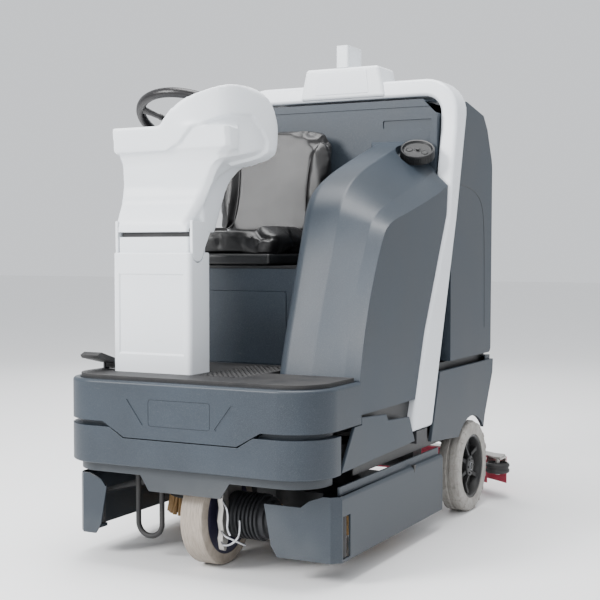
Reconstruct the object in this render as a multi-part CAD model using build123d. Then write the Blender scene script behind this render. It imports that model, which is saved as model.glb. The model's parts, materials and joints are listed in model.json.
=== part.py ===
from build123d import *

import math
import os

# Ride-on floor scrubber: three wheels, a driver's seat, a solution tank and a recovery tank, a twin-disc
# scrub deck and a trailing squeegee.
# Millimetres. +Z up, the machine drives towards -Y, +X is the driver's left.
# The origin is on the floor, under the middle of the machine's box.

# ---------------------------------------------------------------- driving sizes
HALF_LENGTH = 850.0  # bumper face to origin, and squeegee's rear edge to origin
BODY_HALF_WIDTH = 430.0  # bumper, sills and hoop
TANK_HALF_WIDTH = 420.0
COVER_WALL = 5.0  # moulded covers
TANK_WALL = 7.0  # rotomoulded tanks
SEAM = 3.0  # gap between neighbouring covers
RUN = 0.08  # radial clearance of pins that turn
FREE = 4.0  # clearance of parts that sweep past others
PAST = 900.0  # how far forward, back or up a cutting block reaches beyond the covers
UNDER_Z = 200.0
OVER_Z = 1600.0

# operator platform and bumper
PLATFORM_TOP_Z = 550.0
PAN_THICK = 6.0
MAT_THICK = 8.0
MAT_INSET = 24.0
MAT_RIB_PITCH = 22.0
BUMPER_CORNER_R = 130.0
BUMPER_REAR_Y = -566.0
BUMPER_FLANGE = 20.0
POCKET_TOP_Z = 428.0
POCKET_DEPTH = 26.0
BAND_TOP_Z = 412.0
BAND_BOTTOM_Z = 303.0
BAND_REAR_Y = -700.0
TONGUE_Z = 386.0
TONGUE_TOP_HALF = 262.0
TONGUE_BOTTOM_HALF = 186.0
LIP_INSET = 26.0
LIP_SIDE_Z = 276.0
LIP_MID_Z = 232.0
LIP_MID_TOP_HALF = 148.0
LIP_MID_BOTTOM_HALF = 118.0
BADGE_HALF_WIDTH = 102.0
BADGE_LOW_Z = 423.0
BADGE_HIGH_Z = 499.0
BADGE_THICK = 2.0

# steering column, console and steering wheel
COLUMN_X = -184.0
COLUMN_HALF_WIDTH = 137.0
COLUMN_FRONT_Y = -712.0
COLUMN_DEPTH = 114.0
COLUMN_SHOULDER_Z = 912.0
COLUMN_TOP_Z = 958.0
NECK_INSET = 13.0
PANEL_MARGIN = 26.0
PANEL_THICK = 3.0
POST_TUBE = 50.0
TILT_Y = -668.0
TILT_Z = 916.0
TILT_PIN_R = 10.0
LOBE_R = 30.0
CONSOLE_LOW_Z = 972.0
CONSOLE_RIM_Z = 1280.0
POD_TOP_Z = 1402.0
WHEEL_Y = -480.0
WHEEL_Z = 1312.0
WHEEL_RIM_R = 165.0
WHEEL_TUBE_R = 14.0
WHEEL_TILT = 28.0  # degrees that the wheel leans away from level
WHEEL_SHAFT_R = 12.0
WHEEL_SHAFT_LENGTH = 150.0
HORN_R = 20.0
CONSOLE_FRONT_Y = -700.0
CONSOLE_REAR_Y = -572.0
# (Y, Z) ends of the sloping face that holds the switches
CONSOLE_FACE = ((-620.0, 1274.0), (-506.0, 1212.0))
CONSOLE_BUTTONS = {
    "brush_button": (-105.0, -28.0, 9.0),
    "water_button": (-80.0, -28.0, 9.0),
    "suction_button": (-92.0, 2.0, 9.0),
}
KEY_PLACE = (100.0, -30.0, 8.0)
STOP_PLACE = (92.0, 18.0, 9.0)
PEDAL_X = -375.0
PEDAL_HEEL_Y = -640.0
PEDAL_HEEL_Z = 566.0
PEDAL_LENGTH = 120.0
PEDAL_RISE = 34.0

# drive unit
DRIVE_Y = -640.0
DRIVE_WHEEL_R = 150.0
DRIVE_WHEEL_WIDTH = 76.0
DRIVE_HUB_R = 112.0
DRIVE_AXLE_R = 14.0
DRIVE_MOTOR_R = 68.0
DRIVE_MOTOR_END_X = 196.0
FORK_ARM_THICK = 16.0
FORK_TOP_Z = 323.0
STEER_PLATE_Z = 345.0
STEER_PLATE_THICK = 12.0
KINGPIN_R = 30.0

# rear wheels
REAR_AXLE_Y = 375.0
REAR_WHEEL_R = 158.0
REAR_WHEEL_WIDTH = 78.0
REAR_WHEEL_OUTER_X = 436.0
REAR_RIM_R = 112.0
REAR_POCKETS = 6
STUB_R = 14.0
ARCH_GAP = 20.0

# chassis
RAIL_X = 205.0
RAIL_WIDTH = 40.0
RAIL_BOTTOM_Z = 345.0
RAIL_TOP_Z = 415.0
RAIL_FRONT_Y = -560.0
RAIL_REAR_Y = 560.0

# solution tank, left of the driver
TANK_INNER_X = 130.0
TANK_CREASE_X = 256.0
TANK_BOTTOM_Z = 450.0
CAP_X = 318.0
CAP_Y = 130.0
CAP_LEAN = 34.0  # degrees that the filler leans forward from upright
CAP_R = 58.0
CAP_HEIGHT = 34.0
NECK_R = 46.0
NECK_HEIGHT = 22.0
BOSS_DEPTH = 60.0

# seat and battery compartment
SEAT_X = -185.0
SEAT_HALF_WIDTH = 216.0
SEAT_BACK_HALF_WIDTH = 182.0
CUSHION_FRONT_Y = -360.0
CUSHION_LOW_Z = 902.0
CUSHION_TOP_Z = 962.0
BACK_TOP_Z = 1342.0
BATTERY_FRONT_Y = -335.0
BATTERY_REAR_Y = 172.0
BATTERY_RIGHT_X = -362.0
DECK_COVER_Z = 862.0
DECK_COVER_THICK = 8.0
BATTERY_LENGTH = 235.0
BATTERY_WIDTH = 172.0
BATTERY_HEIGHT = 275.0
BATTERY_GAP = 12.0

# recovery tank
RECOVERY_FRONT_Y = 182.0
RECOVERY_REAR_Y = 618.0
RECOVERY_TOP_Z = 1432.0
RECOVERY_PARTING_Z = 1403.0
RECOVERY_LOW_Z = 545.0
LID_FRONT_Y = 352.0
LID_REAR_Y = 500.0
LID_HALF_WIDTH = 300.0
LID_THICK = 26.0
LID_DROP = 30.0
LID_HINGE_R = 6.0

# hoop
HOOP_TOP_Z = 1505.0
HOOP_BAR = 60.0
HOOP_CORNER_R = 120.0
HOOP_FOOT_Z = 350.0
# (Y, Z) corners of the leaning leg's front edge and rear edge, from its foot up
HOOP_FRONT_LINE = ((-175.0, HOOP_FOOT_Z), (-53.0, 664.0), (142.0, 1037.0), (205.0, 1330.0))
HOOP_REAR_LINE = ((-5.0, HOOP_FOOT_Z), (220.0, 1039.0), (315.0, 1399.0))
HOOP_TOP_FRONT_Y = 218.0
HOOP_TOP_REAR_Y = 334.0
BADGE_BOX_TOP_Z = 1562.0
BADGE_BOX_LOW_Z = 1452.0
BADGE_BOX_LOW_HALF = 165.0
BADGE_BOX_TOP_HALF = 140.0
BADGE_BOX_WALL = 12.0
POST_TOP_Z = 1640.0
POST_HALF_X = 23.0
POST_FRONT_Y = 205.0
POST_REAR_Y = 335.0
POST_BORE_R = 6.0
POST_BORE_DEPTH = 30.0

# scrub deck
BRUSH_X = 215.0
BRUSH_Y = -235.0
BRUSH_R = 205.0
BRISTLE_BOTTOM_Z = 60.0
BRUSH_BODY_Z = 122.0
BRUSH_BODY_THICK = 22.0
DECK_PLATE_Z = 186.0
DECK_PLATE_THICK = 6.0
DECK_RIM_R = 212.0
DECK_RIM_DROP = 50.0
BRUSH_MOTOR_R = 58.0
BRUSH_MOTOR_HEIGHT = 135.0
BRUSH_SHAFT_R = 12.0
ARM_CHASSIS_Y = 110.0
ARM_CHASSIS_Z = 205.0
ARM_DECK_Y = -225.0
ARM_DECK_Z = 222.0
ARM_X = 60.0
ARM_WIDTH = 16.0
ARM_PIN_R = 9.0
ARM_EYE_R = 24.0
SKIRT_X = 440.0
SKIRT_FRONT_Y = -738.0
SKIRT_REAR_Y = 60.0
SKIRT_INNER_X = 209.0
SKIRT_RIGHT_INNER_X = 330.0
SKIRT_BOTTOM_Z = 66.0
SKIRT_RIDGE_Z = 248.0
SKIRT_TOP_Z = 270.0
SKIRT_FRONT_Z = 212.0
SKIRT_WALL = 6.0
SKIRT_CORNER = 24.0
SKIRT_HINGE_X = 372.0
SKIRT_HINGE_Y = -700.0
SKIRT_PIN_R = 8.0
WINDOW_LOW_Z = 74.0
WINDOW_HIGH_Z = 192.0
CORNER_ROLLER_R = 20.0

# cable loop beside the drive wheel
LOOP_X = -205.0
LOOP_HALF_WIDTH = 42.0
LOOP_Y = -690.0
LOOP_LOW_Z = 66.0
LOOP_R = 8.0

# squeegee
SQUEEGEE_HALF_CHORD = 462.0
SQUEEGEE_SAG = 165.0
SQUEEGEE_DEPTH = 66.0
SQUEEGEE_TOP_Z = 150.0
SQUEEGEE_LOW_Z = 112.0
BLADE_BOTTOM_Z = 46.0
BLADE_TOP_Z = 146.0
BLADE_THICK = 5.0
ROLLER_X = 446.0
ROLLER_Y = 622.0
ROLLER_R = 44.0
ROLLER_LOW_Z = 96.0
ROLLER_HIGH_Z = 132.0
LIFT_Y = 480.0
LIFT_Z = 235.0
LEVEL_Y = 715.0
LEVEL_Z = 216.0
LIFT_PIN_R = 9.0
HOSE_R = 24.0
HOSE_WALL = 4.0

parts = {}


# ---------------------------------------------------------------- helpers
def block(x0, x1, y0, y1, z0, z1):
    """An upright box between two corners."""
    return Pos((x0 + x1) / 2, (y0 + y1) / 2, (z0 + z1) / 2) * Box(abs(x1 - x0), abs(y1 - y0), abs(z1 - z0))


def side_plate(points, x0, x1):
    """A (Y, Z) outline, extruded from x0 to x1."""
    face = make_face(Polyline(*points, close=True))
    return extrude(Plane.YZ.offset(min(x0, x1)) * face, abs(x1 - x0))


def front_plate(points, y0, y1):
    """An (X, Z) outline, extruded from y0 to y1."""
    face = make_face(Polyline(*points, close=True))
    return extrude(Plane.XZ.offset(-min(y0, y1)) * face, -abs(y1 - y0))


def plan_plate(points, z0, z1):
    """An (X, Y) outline, extruded from z0 to z1."""
    face = make_face(Polyline(*points, close=True))
    return extrude(Plane.XY.offset(z0) * face, z1 - z0)


def rod_x(x0, x1, y, z, radius):
    """A round bar along X."""
    return Pos((x0 + x1) / 2, y, z) * Rot(0, 90, 0) * Cylinder(radius, abs(x1 - x0))


def rod_z(x, y, z0, z1, radius):
    """A round bar along Z."""
    return Pos(x, y, (z0 + z1) / 2) * Cylinder(radius, z1 - z0)


def mirrored(solid):
    """The same piece on the driver's right."""
    return mirror(solid, Plane.YZ)


def vertical_edges(solid):
    """Edges that run along Z."""
    return solid.edges().filter_by(Axis.Z)


def inset(points, gap):
    """A counter-clockwise or clockwise outline, moved inwards by a gap."""
    count = len(points)
    area = sum(
        points[i][0] * points[(i + 1) % count][1] - points[(i + 1) % count][0] * points[i][1]
        for i in range(count)
    )
    side = 1.0 if area > 0 else -1.0
    lines = []
    for i in range(count):
        (ax, ay), (bx, by) = points[i], points[(i + 1) % count]
        length = math.hypot(bx - ax, by - ay)
        nx, ny = -(by - ay) / length * side, (bx - ax) / length * side
        lines.append((ax + nx * gap, ay + ny * gap, bx - ax, by - ay))
    result = []
    for i in range(count):
        px, py, dx, dy = lines[i - 1]
        qx, qy, ex, ey = lines[i]
        along = ((qx - px) * ey - (qy - py) * ex) / (dx * ey - dy * ex)
        result.append((px + dx * along, py + dy * along))
    return result


def ruled_body(sections):
    """A flat-sided body through (Y, Z) outlines, each at its own X."""
    faces = [Plane.YZ.offset(x) * make_face(Polyline(*points, close=True)) for x, points in sections]
    return loft(faces, ruled=True)


def bumper_block(inward, rear_y, z0, z1):
    """The bumper's plan, moved inwards, with its two front corners rounded."""
    half_width = BODY_HALF_WIDTH - inward
    body = block(-half_width, half_width, -HALF_LENGTH + inward, rear_y, z0, z1)
    front = vertical_edges(body).group_by(Axis.Y)[0]
    return fillet(front, BUMPER_CORNER_R - inward)


def bumper_wall(inward, wall, rear_y, z0, z1):
    """A wall that follows the bumper's plan, open at the rear, top and bottom."""
    return bumper_block(inward, rear_y, z0, z1) - bumper_block(inward + wall, rear_y + 1, z0 - 1, z1 + 1)


def add(name, *solids):
    """Keep a finished sub-part, or a group of separate solids, under its node's name."""
    parts[name] = solids[0] if len(solids) == 1 else Compound(
        [s for group in solids for s in group.solids()]
    )


# ---------------------------------------------------------------- outlines that several covers share
def hoop_outline(gap=0.0):
    """The hoop's leaning leg in side view; a gap widens it."""
    foot_front, *front = HOOP_FRONT_LINE
    foot_rear, *rear = HOOP_REAR_LINE
    outline = [(foot_front[0] - gap, HOOP_FOOT_Z - gap)]
    outline += [(y - gap, z) for y, z in front]
    outline += [(HOOP_TOP_FRONT_Y - gap, HOOP_TOP_Z + gap), (HOOP_TOP_REAR_Y + gap, HOOP_TOP_Z + gap)]
    outline += [(y + gap, z) for y, z in reversed(rear)]
    outline += [(foot_rear[0] + gap, HOOP_FOOT_Z - gap)]
    return outline


def hoop_channel():
    """The room that both hoop legs need between the covers."""
    inner = BODY_HALF_WIDTH - HOOP_BAR - SEAM
    left = side_plate(hoop_outline(SEAM), inner, BODY_HALF_WIDTH + 50)
    return left + mirrored(left)


def ahead_of_hoop():
    """Everything in front of the hoop legs' rear edge, beside the tanks."""
    outline = [(-PAST, UNDER_Z), (-PAST, HOOP_TOP_Z - 5), (HOOP_TOP_REAR_Y, HOOP_TOP_Z - 5)]
    outline += [*reversed(HOOP_REAR_LINE), (HOOP_REAR_LINE[0][0] - 55, UNDER_Z)]
    inner = BODY_HALF_WIDTH - HOOP_BAR - SEAM
    left = side_plate([(y + SEAM, z) for y, z in outline], inner, BODY_HALF_WIDTH + 50)
    return left + mirrored(left)


def behind_hoop():
    """Everything behind the hoop legs' front edge, beside the tanks."""
    outline = [(HOOP_FRONT_LINE[0][0], UNDER_Z), *HOOP_FRONT_LINE]
    outline += [(HOOP_TOP_FRONT_Y, OVER_Z), (PAST, OVER_Z)]
    inner = BODY_HALF_WIDTH - HOOP_BAR - SEAM
    left = side_plate([(y - SEAM, z) for y, z in outline] + [(PAST, UNDER_Z)], inner, BODY_HALF_WIDTH + 50)
    return left + mirrored(left)


# ---------------------------------------------------------------- bumper and platform
def tongue_outline(gap=0.0):
    """The bumper's downward tongue in front view."""
    return [
        (-TONGUE_TOP_HALF - gap, POCKET_TOP_Z + 1),
        (TONGUE_TOP_HALF + gap, POCKET_TOP_Z + 1),
        (TONGUE_BOTTOM_HALF + gap, TONGUE_Z - gap),
        (-TONGUE_BOTTOM_HALF - gap, TONGUE_Z - gap),
    ]


def make_bumper():
    """Upper bumper shell, lower band, lip and blank badge."""
    top = PLATFORM_TOP_Z - MAT_THICK / 2
    shell = bumper_block(0, BUMPER_REAR_Y, POCKET_TOP_Z, top)
    shell -= bumper_block(COVER_WALL, BUMPER_REAR_Y + 1, POCKET_TOP_Z + COVER_WALL, top - COVER_WALL)
    shell -= bumper_block(BUMPER_FLANGE, BUMPER_REAR_Y + 1, top - COVER_WALL - 1, top + 1)
    shell -= bumper_block(POCKET_DEPTH + COVER_WALL, BUMPER_REAR_Y + 1, POCKET_TOP_Z - 1, top)
    front = -HALF_LENGTH
    tongue = front_plate(tongue_outline(), front, front + POCKET_DEPTH + COVER_WALL)
    shell += tongue & bumper_block(0, BUMPER_REAR_Y, TONGUE_Z, POCKET_TOP_Z + COVER_WALL)
    recess = block(
        -BADGE_HALF_WIDTH, BADGE_HALF_WIDTH, front - 1, front + BADGE_THICK, BADGE_LOW_Z, BADGE_HIGH_Z
    )
    recess = fillet(recess.edges().filter_by(Axis.Y), 8)
    shell -= recess
    for side in (-1, 1):
        groove = [(side * 116, 428), (side * 122, 424), (side * 176, 496), (side * 168, 496)]
        shell -= front_plate(groove, front - 1, front + 2)
    badge = block(
        -BADGE_HALF_WIDTH + 1, BADGE_HALF_WIDTH - 1, front + 0.2, front + BADGE_THICK, BADGE_LOW_Z + 1,
        BADGE_HIGH_Z - 1,
    )
    add("front_bumper", shell, fillet(badge.edges().filter_by(Axis.Y), 7))

    band = bumper_block(0, BAND_REAR_Y, BAND_BOTTOM_Z, BAND_TOP_Z)
    band -= bumper_block(COVER_WALL, BAND_REAR_Y + 1, BAND_BOTTOM_Z - 1, BAND_TOP_Z - COVER_WALL)
    band -= bumper_block(
        POCKET_DEPTH + COVER_WALL, BAND_REAR_Y + 1, BAND_TOP_Z - COVER_WALL - 1, BAND_TOP_Z + 1
    )
    band += bumper_wall(POCKET_DEPTH, COVER_WALL, BAND_REAR_Y, BAND_TOP_Z - 1, POCKET_TOP_Z - SEAM)
    band -= front_plate(tongue_outline(SEAM), front - 1, front + 2 * POCKET_DEPTH)
    add("bumper_band", band)

    lip = bumper_wall(LIP_INSET, COVER_WALL, BAND_REAR_Y, LIP_MID_Z, BAND_BOTTOM_Z - 1)
    half = BODY_HALF_WIDTH + 1
    for side in (-1, 1):
        away = [
            (side * LIP_MID_TOP_HALF, LIP_SIDE_Z),
            (side * half, LIP_SIDE_Z),
            (side * half, LIP_MID_Z - 1),
            (side * LIP_MID_BOTTOM_HALF, LIP_MID_Z - 1),
        ]
        lip -= front_plate(away, front - 1, BAND_REAR_Y + 1)
    lip += bumper_wall(LIP_INSET, COVER_WALL, BAND_REAR_Y, BAND_BOTTOM_Z - 1, BAND_BOTTOM_Z)
    add("bumper_lip", lip)


def make_platform():
    """Steel pan and ribbed rubber mat that the driver's feet rest on."""
    low = PLATFORM_TOP_Z - PAN_THICK
    pan = bumper_block(BUMPER_FLANGE + SEAM, BUMPER_REAR_Y, low, PLATFORM_TOP_Z)
    right = -(BODY_HALF_WIDTH - BUMPER_FLANGE - SEAM)
    pan += block(right, TANK_INNER_X - SEAM, BUMPER_REAR_Y - 1, BATTERY_FRONT_Y - SEAM, low, PLATFORM_TOP_Z)
    for y in (RAIL_FRONT_Y + 30, -420):
        for side in (-1, 1):
            x = side * (TANK_INNER_X - 30)
            pan += block(x - 20, x + 20, y - 20, y + 20, RAIL_TOP_Z, low)
    add("platform_pan", pan)

    mat_low = PLATFORM_TOP_Z
    mat_high = PLATFORM_TOP_Z + MAT_THICK
    mat = bumper_block(MAT_INSET, BUMPER_REAR_Y, mat_low, mat_high)
    mat += block(
        -(BODY_HALF_WIDTH - MAT_INSET), TANK_INNER_X - SEAM, BUMPER_REAR_Y - 1, BATTERY_FRONT_Y - SEAM,
        mat_low, mat_high,
    )
    gap = SEAM
    mat -= block(
        COLUMN_X - COLUMN_HALF_WIDTH - gap, COLUMN_X + COLUMN_HALF_WIDTH + gap,
        COLUMN_FRONT_Y - gap, COLUMN_FRONT_Y + COLUMN_DEPTH + gap, mat_low - 1, mat_high + 1,
    )
    mat -= block(
        PEDAL_X - 30, PEDAL_X + 30, PEDAL_HEEL_Y - 22, PEDAL_HEEL_Y + 22, mat_low - 1, mat_high + 1
    )
    rib_left = COLUMN_X + COLUMN_HALF_WIDTH + 30
    x = rib_left
    while x < TANK_INNER_X - 20:
        mat -= block(x - 4, x + 4, COLUMN_FRONT_Y, BATTERY_FRONT_Y - 40, mat_high - 3, mat_high + 1)
        x += MAT_RIB_PITCH
    add("floor_mat", mat)


# ---------------------------------------------------------------- pedal
def make_pedal():
    """Drive pedal, hinged at its heel on a small stand."""
    low = PLATFORM_TOP_Z
    stand = block(PEDAL_X - 28, PEDAL_X + 28, PEDAL_HEEL_Y - 18, PEDAL_HEEL_Y + 18, low, low + 5)
    for side in (-1, 1):
        ear = block(
            PEDAL_X + side * 28, PEDAL_X + side * 22, PEDAL_HEEL_Y - 11, PEDAL_HEEL_Y + 11,
            low + 4, PEDAL_HEEL_Z + 9
        )
        stand += ear
    stand += rod_x(PEDAL_X - 28, PEDAL_X + 28, PEDAL_HEEL_Y, PEDAL_HEEL_Z, 5)
    parts["platform_pan"] += stand

    toe_y = PEDAL_HEEL_Y - PEDAL_LENGTH
    toe_z = PEDAL_HEEL_Z + PEDAL_RISE
    outline = [
        (PEDAL_HEEL_Y + 16, PEDAL_HEEL_Z + 8),
        (PEDAL_HEEL_Y - 10, PEDAL_HEEL_Z + 20),
        (toe_y + 20, toe_z + 14),
        (toe_y, toe_z + 6),
        (toe_y + 8, toe_z - 4),
        (PEDAL_HEEL_Y - 10, PEDAL_HEEL_Z + 8),
    ]
    pedal = side_plate(outline, PEDAL_X - 32, PEDAL_X + 32)
    pedal += block(
        PEDAL_X - 18, PEDAL_X + 18, PEDAL_HEEL_Y - 10, PEDAL_HEEL_Y + 10,
        PEDAL_HEEL_Z - 4, PEDAL_HEEL_Z + 10,
    )
    pedal -= rod_x(PEDAL_X - 40, PEDAL_X + 40, PEDAL_HEEL_Y, PEDAL_HEEL_Z, 5 + RUN)
    for side in (-1, 1):
        pedal -= block(
            PEDAL_X + side * 21, PEDAL_X + side * 40, PEDAL_HEEL_Y - 16, PEDAL_HEEL_Y + 24,
            PEDAL_HEEL_Z - 20, PEDAL_HEEL_Z + 11,
        )
    add("drive_pedal", pedal)


# ---------------------------------------------------------------- placing frames of the console
def steering_place():
    """The steering wheel's frame: its centre, with local Z along the shaft towards the driver."""
    return Pos(COLUMN_X, WHEEL_Y, WHEEL_Z) * Rot(-WHEEL_TILT, 0, 0)


def steering_rod(start, end, radius):
    """A round bar along the steering shaft, measured down from the wheel's centre."""
    return steering_place() * (Pos(0, 0, -(start + end) / 2) * Cylinder(radius, end - start))


def on_face(x, y, solid):
    """A solid on the console's sloping face: X across, Y down the slope, Z out of the face."""
    (high_y, high_z), (low_y, low_z) = CONSOLE_FACE
    lean = -math.degrees(math.atan2(high_z - low_z, low_y - high_y))
    middle = Pos(COLUMN_X, (high_y + low_y) / 2, (high_z + low_z) / 2)
    return middle * Rot(lean, 0, 0) * Pos(x, y, 0) * solid


# ---------------------------------------------------------------- column, console and steering wheel
def make_column():
    """White lower cover, its front panel, and the steel post that carries the tilting console."""
    left, right = COLUMN_X + COLUMN_HALF_WIDTH, COLUMN_X - COLUMN_HALF_WIDTH
    rear = COLUMN_FRONT_Y + COLUMN_DEPTH
    low = PLATFORM_TOP_Z
    outer = block(right, left, COLUMN_FRONT_Y, rear, low, COLUMN_SHOULDER_Z)
    outer = fillet(vertical_edges(outer), 14)
    inner = block(
        right + COVER_WALL, left - COVER_WALL, COLUMN_FRONT_Y + COVER_WALL, rear - COVER_WALL,
        low - 1, COLUMN_SHOULDER_Z - COVER_WALL,
    )
    neck = block(
        right + NECK_INSET, left - NECK_INSET, COLUMN_FRONT_Y + NECK_INSET, rear - NECK_INSET / 2,
        COLUMN_SHOULDER_Z - COVER_WALL, COLUMN_TOP_Z,
    )
    neck_inner = block(
        right + NECK_INSET + COVER_WALL, left - NECK_INSET - COVER_WALL,
        COLUMN_FRONT_Y + NECK_INSET + COVER_WALL,
        rear - NECK_INSET / 2 - COVER_WALL, COLUMN_SHOULDER_Z - 2 * COVER_WALL, COLUMN_TOP_Z + 1,
    )
    cover = outer - inner + neck - neck_inner
    panel_low, panel_high = low + 62, COLUMN_SHOULDER_Z - 62
    recess = block(
        right + PANEL_MARGIN, left - PANEL_MARGIN, COLUMN_FRONT_Y - 1, COLUMN_FRONT_Y + PANEL_THICK,
        panel_low, panel_high,
    )
    cover -= recess
    cover -= rod_x(right - 5, left + 5, TILT_Y, TILT_Z, TILT_PIN_R + RUN)
    for side, x in ((-1, right), (1, left)):
        cover -= rod_x(x - side * NECK_INSET, x + side * 5, TILT_Y, TILT_Z, LOBE_R + FREE)
    panel = block(
        right + PANEL_MARGIN + 1, left - PANEL_MARGIN - 1, COLUMN_FRONT_Y + 0.8,
        COLUMN_FRONT_Y + PANEL_THICK,
        panel_low + 1, panel_high - 1,
    )
    add("column_cover", cover, panel)

    half = POST_TUBE / 2
    post = block(COLUMN_X - 60, COLUMN_X + 60, TILT_Y - 35, TILT_Y + 35, low, low + 6)
    post += block(COLUMN_X - half, COLUMN_X + half, TILT_Y - half, TILT_Y + half, low + 5, TILT_Z + 18)
    post -= block(
        COLUMN_X - half + 4, COLUMN_X + half - 4, TILT_Y - half + 4, TILT_Y + half - 4,
        low + 20, TILT_Z - 20,
    )
    post += rod_x(right + 0.5, left - 0.5, TILT_Y, TILT_Z, TILT_PIN_R)
    add("column_post", post)


def console_outline(gap=0.0):
    """The console in side view, from its bottom front edge round by the top."""
    outline = [
        (CONSOLE_FRONT_Y, CONSOLE_LOW_Z),
        (-662, 1092),
        (-678, 1174),
        (-697, 1202),
        (-709, CONSOLE_RIM_Z - 24),
        (-706, CONSOLE_RIM_Z),
        *CONSOLE_FACE,
        (-488, 1180),
        (-518, 1130),
        (CONSOLE_REAR_Y, CONSOLE_LOW_Z),
    ]
    return inset(outline, gap) if gap else outline


def pod_outline(gap=0.0):
    """The display pod in plan: a wing that wraps the steering wheel's left front."""
    outline = [
        (-120, -706),
        (-10, -690),
        (50, -638),
        (77, -540),
        (78, -432),
        (56, -388),
        (18, -396),
        (14, -460),
        (-6, -540),
        (-48, -602),
        (-120, -628),
    ]
    return inset(outline, gap) if gap else outline


def pod_side(gap=0.0):
    """The pod in side view: a rising underside, a level top and a rounded end."""
    outline = [
        (-800, 1080),
        (-560, 1100),
        (-450, 1190),
        (-384, 1250),
        (-378, 1316),
        (-430, POD_TOP_Z - 12),
        (-500, POD_TOP_Z),
        (-800, POD_TOP_Z),
    ]
    return inset(outline, gap) if gap else outline


def pod_front(gap=0.0):
    """The pod in front view: it swells out of the column's side and rises above the rim."""
    outline = [
        (-140, 1090),
        (-47, 1118),
        (-16, 1154),
        (20, 1174),
        (84, 1196),
        (100, 1240),
        (96, POD_TOP_Z - 30),
        (56, POD_TOP_Z),
        (2, 1366),
        (-70, 1342),
        (-118, CONSOLE_RIM_Z),
        (-140, CONSOLE_RIM_Z - 8),
    ]
    return inset(outline, gap) if gap else outline


def console_solid(gap=0.0):
    """Console body with its pod, moved inwards by a wall."""
    left, right = COLUMN_X + COLUMN_HALF_WIDTH, COLUMN_X - COLUMN_HALF_WIDTH
    body = side_plate(console_outline(gap), right + gap, left - gap)
    pod = plan_plate(pod_outline(gap), 1000, 1500)
    pod &= side_plate(pod_side(gap), -300, 200)
    pod &= front_plate(pod_front(gap), -900, -300)
    return body + pod


def make_console():
    """Tilting console: hollow shell, inner frame, display and switches."""
    left, right = COLUMN_X + COLUMN_HALF_WIDTH, COLUMN_X - COLUMN_HALF_WIDTH
    shell = console_solid() - console_solid(COVER_WALL)
    shell -= block(
        right + COVER_WALL, left - COVER_WALL, CONSOLE_FRONT_Y + 2 * COVER_WALL,
        CONSOLE_REAR_Y - COVER_WALL,
        CONSOLE_LOW_Z - 1, CONSOLE_LOW_Z + COVER_WALL + 1,
    )
    for side, x in ((-1, right), (1, left)):
        inner = x - side * 8
        lobe = rod_x(inner, x, TILT_Y, TILT_Z, LOBE_R)
        lobe += side_plate(
            [
                (TILT_Y - LOBE_R, TILT_Z), (CONSOLE_FRONT_Y + 1, CONSOLE_LOW_Z + 2),
                (TILT_Y + 2 * LOBE_R, CONSOLE_LOW_Z + 2), (TILT_Y + LOBE_R, TILT_Z),
            ],
            inner, x,
        )
        shell += lobe
    shell -= rod_x(right - 5, left + 5, TILT_Y, TILT_Z, TILT_PIN_R + RUN)
    shell -= steering_rod(-20, WHEEL_SHAFT_LENGTH, WHEEL_SHAFT_R + FREE)
    add("console_shell", shell)

    for x, y, radius in (*CONSOLE_BUTTONS.values(), KEY_PLACE, STOP_PLACE):
        shell -= on_face(x, y, Cylinder(radius + 0.5, 40))
    add("console_shell", shell)

    frame = steering_rod(120, WHEEL_SHAFT_LENGTH + 10, WHEEL_SHAFT_R + 6)
    strut = [(-645, 1000), (-600, 1000), (-552, 1150), (-540, 1190), (-570, 1200), (-620, 1150)]
    frame += side_plate(strut, COLUMN_X - 30, COLUMN_X + 30)
    frame -= steering_rod(0, WHEEL_SHAFT_LENGTH + 1, WHEEL_SHAFT_R + RUN)
    for side, x in ((-1, right + COVER_WALL), (1, left - COVER_WALL)):
        frame += block(COLUMN_X + side * 28, x - side * 0.5, -640, -612, 1004, 1034)
    add("console_frame", frame)

    add("display", on_face(0, -12, Pos(0, 0, 2) * Box(104, 62, 4)))
    for name, (x, y, radius) in CONSOLE_BUTTONS.items():
        add(name, on_face(x, y, Pos(0, 0, -2) * Cylinder(radius, 14)))
    x, y, radius = KEY_PLACE
    key = Pos(0, 0, -1) * Cylinder(radius, 12) + Pos(0, 0, 15) * Box(4, 14, 22)
    add("key_switch", on_face(x, y, key))
    x, y, radius = STOP_PLACE
    stop = Pos(0, 0, 3) * Cylinder(radius, 20) + Pos(0, 0, 17) * Cylinder(radius + 9, 10)
    add("emergency_stop", on_face(x, y, stop))


def make_steering_wheel():
    """Rim, three spokes, hub and shaft in one piece, with the horn button in the hub."""
    place = steering_place()
    wheel = Torus(WHEEL_RIM_R, WHEEL_TUBE_R)
    wheel += Pos(0, 0, -12) * Cylinder(36, 26)
    wheel += Pos(0, 0, -30) * Cylinder(24, 30)
    for turn in (90, 215, 325):
        spoke = Pos(WHEEL_RIM_R / 2, 0, -8) * Box(WHEEL_RIM_R - 4, 30, 10)
        wheel += Rot(0, 0, turn) * spoke
    wheel += Pos(0, 0, -WHEEL_SHAFT_LENGTH / 2) * Cylinder(WHEEL_SHAFT_R, WHEEL_SHAFT_LENGTH)
    wheel -= Pos(0, 0, 1) * Cylinder(HORN_R + 0.5, 16)
    add("steering_wheel", place * wheel)
    add("horn_button", place * (Pos(0, 0, 1) * Cylinder(HORN_R, 8)))


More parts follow.
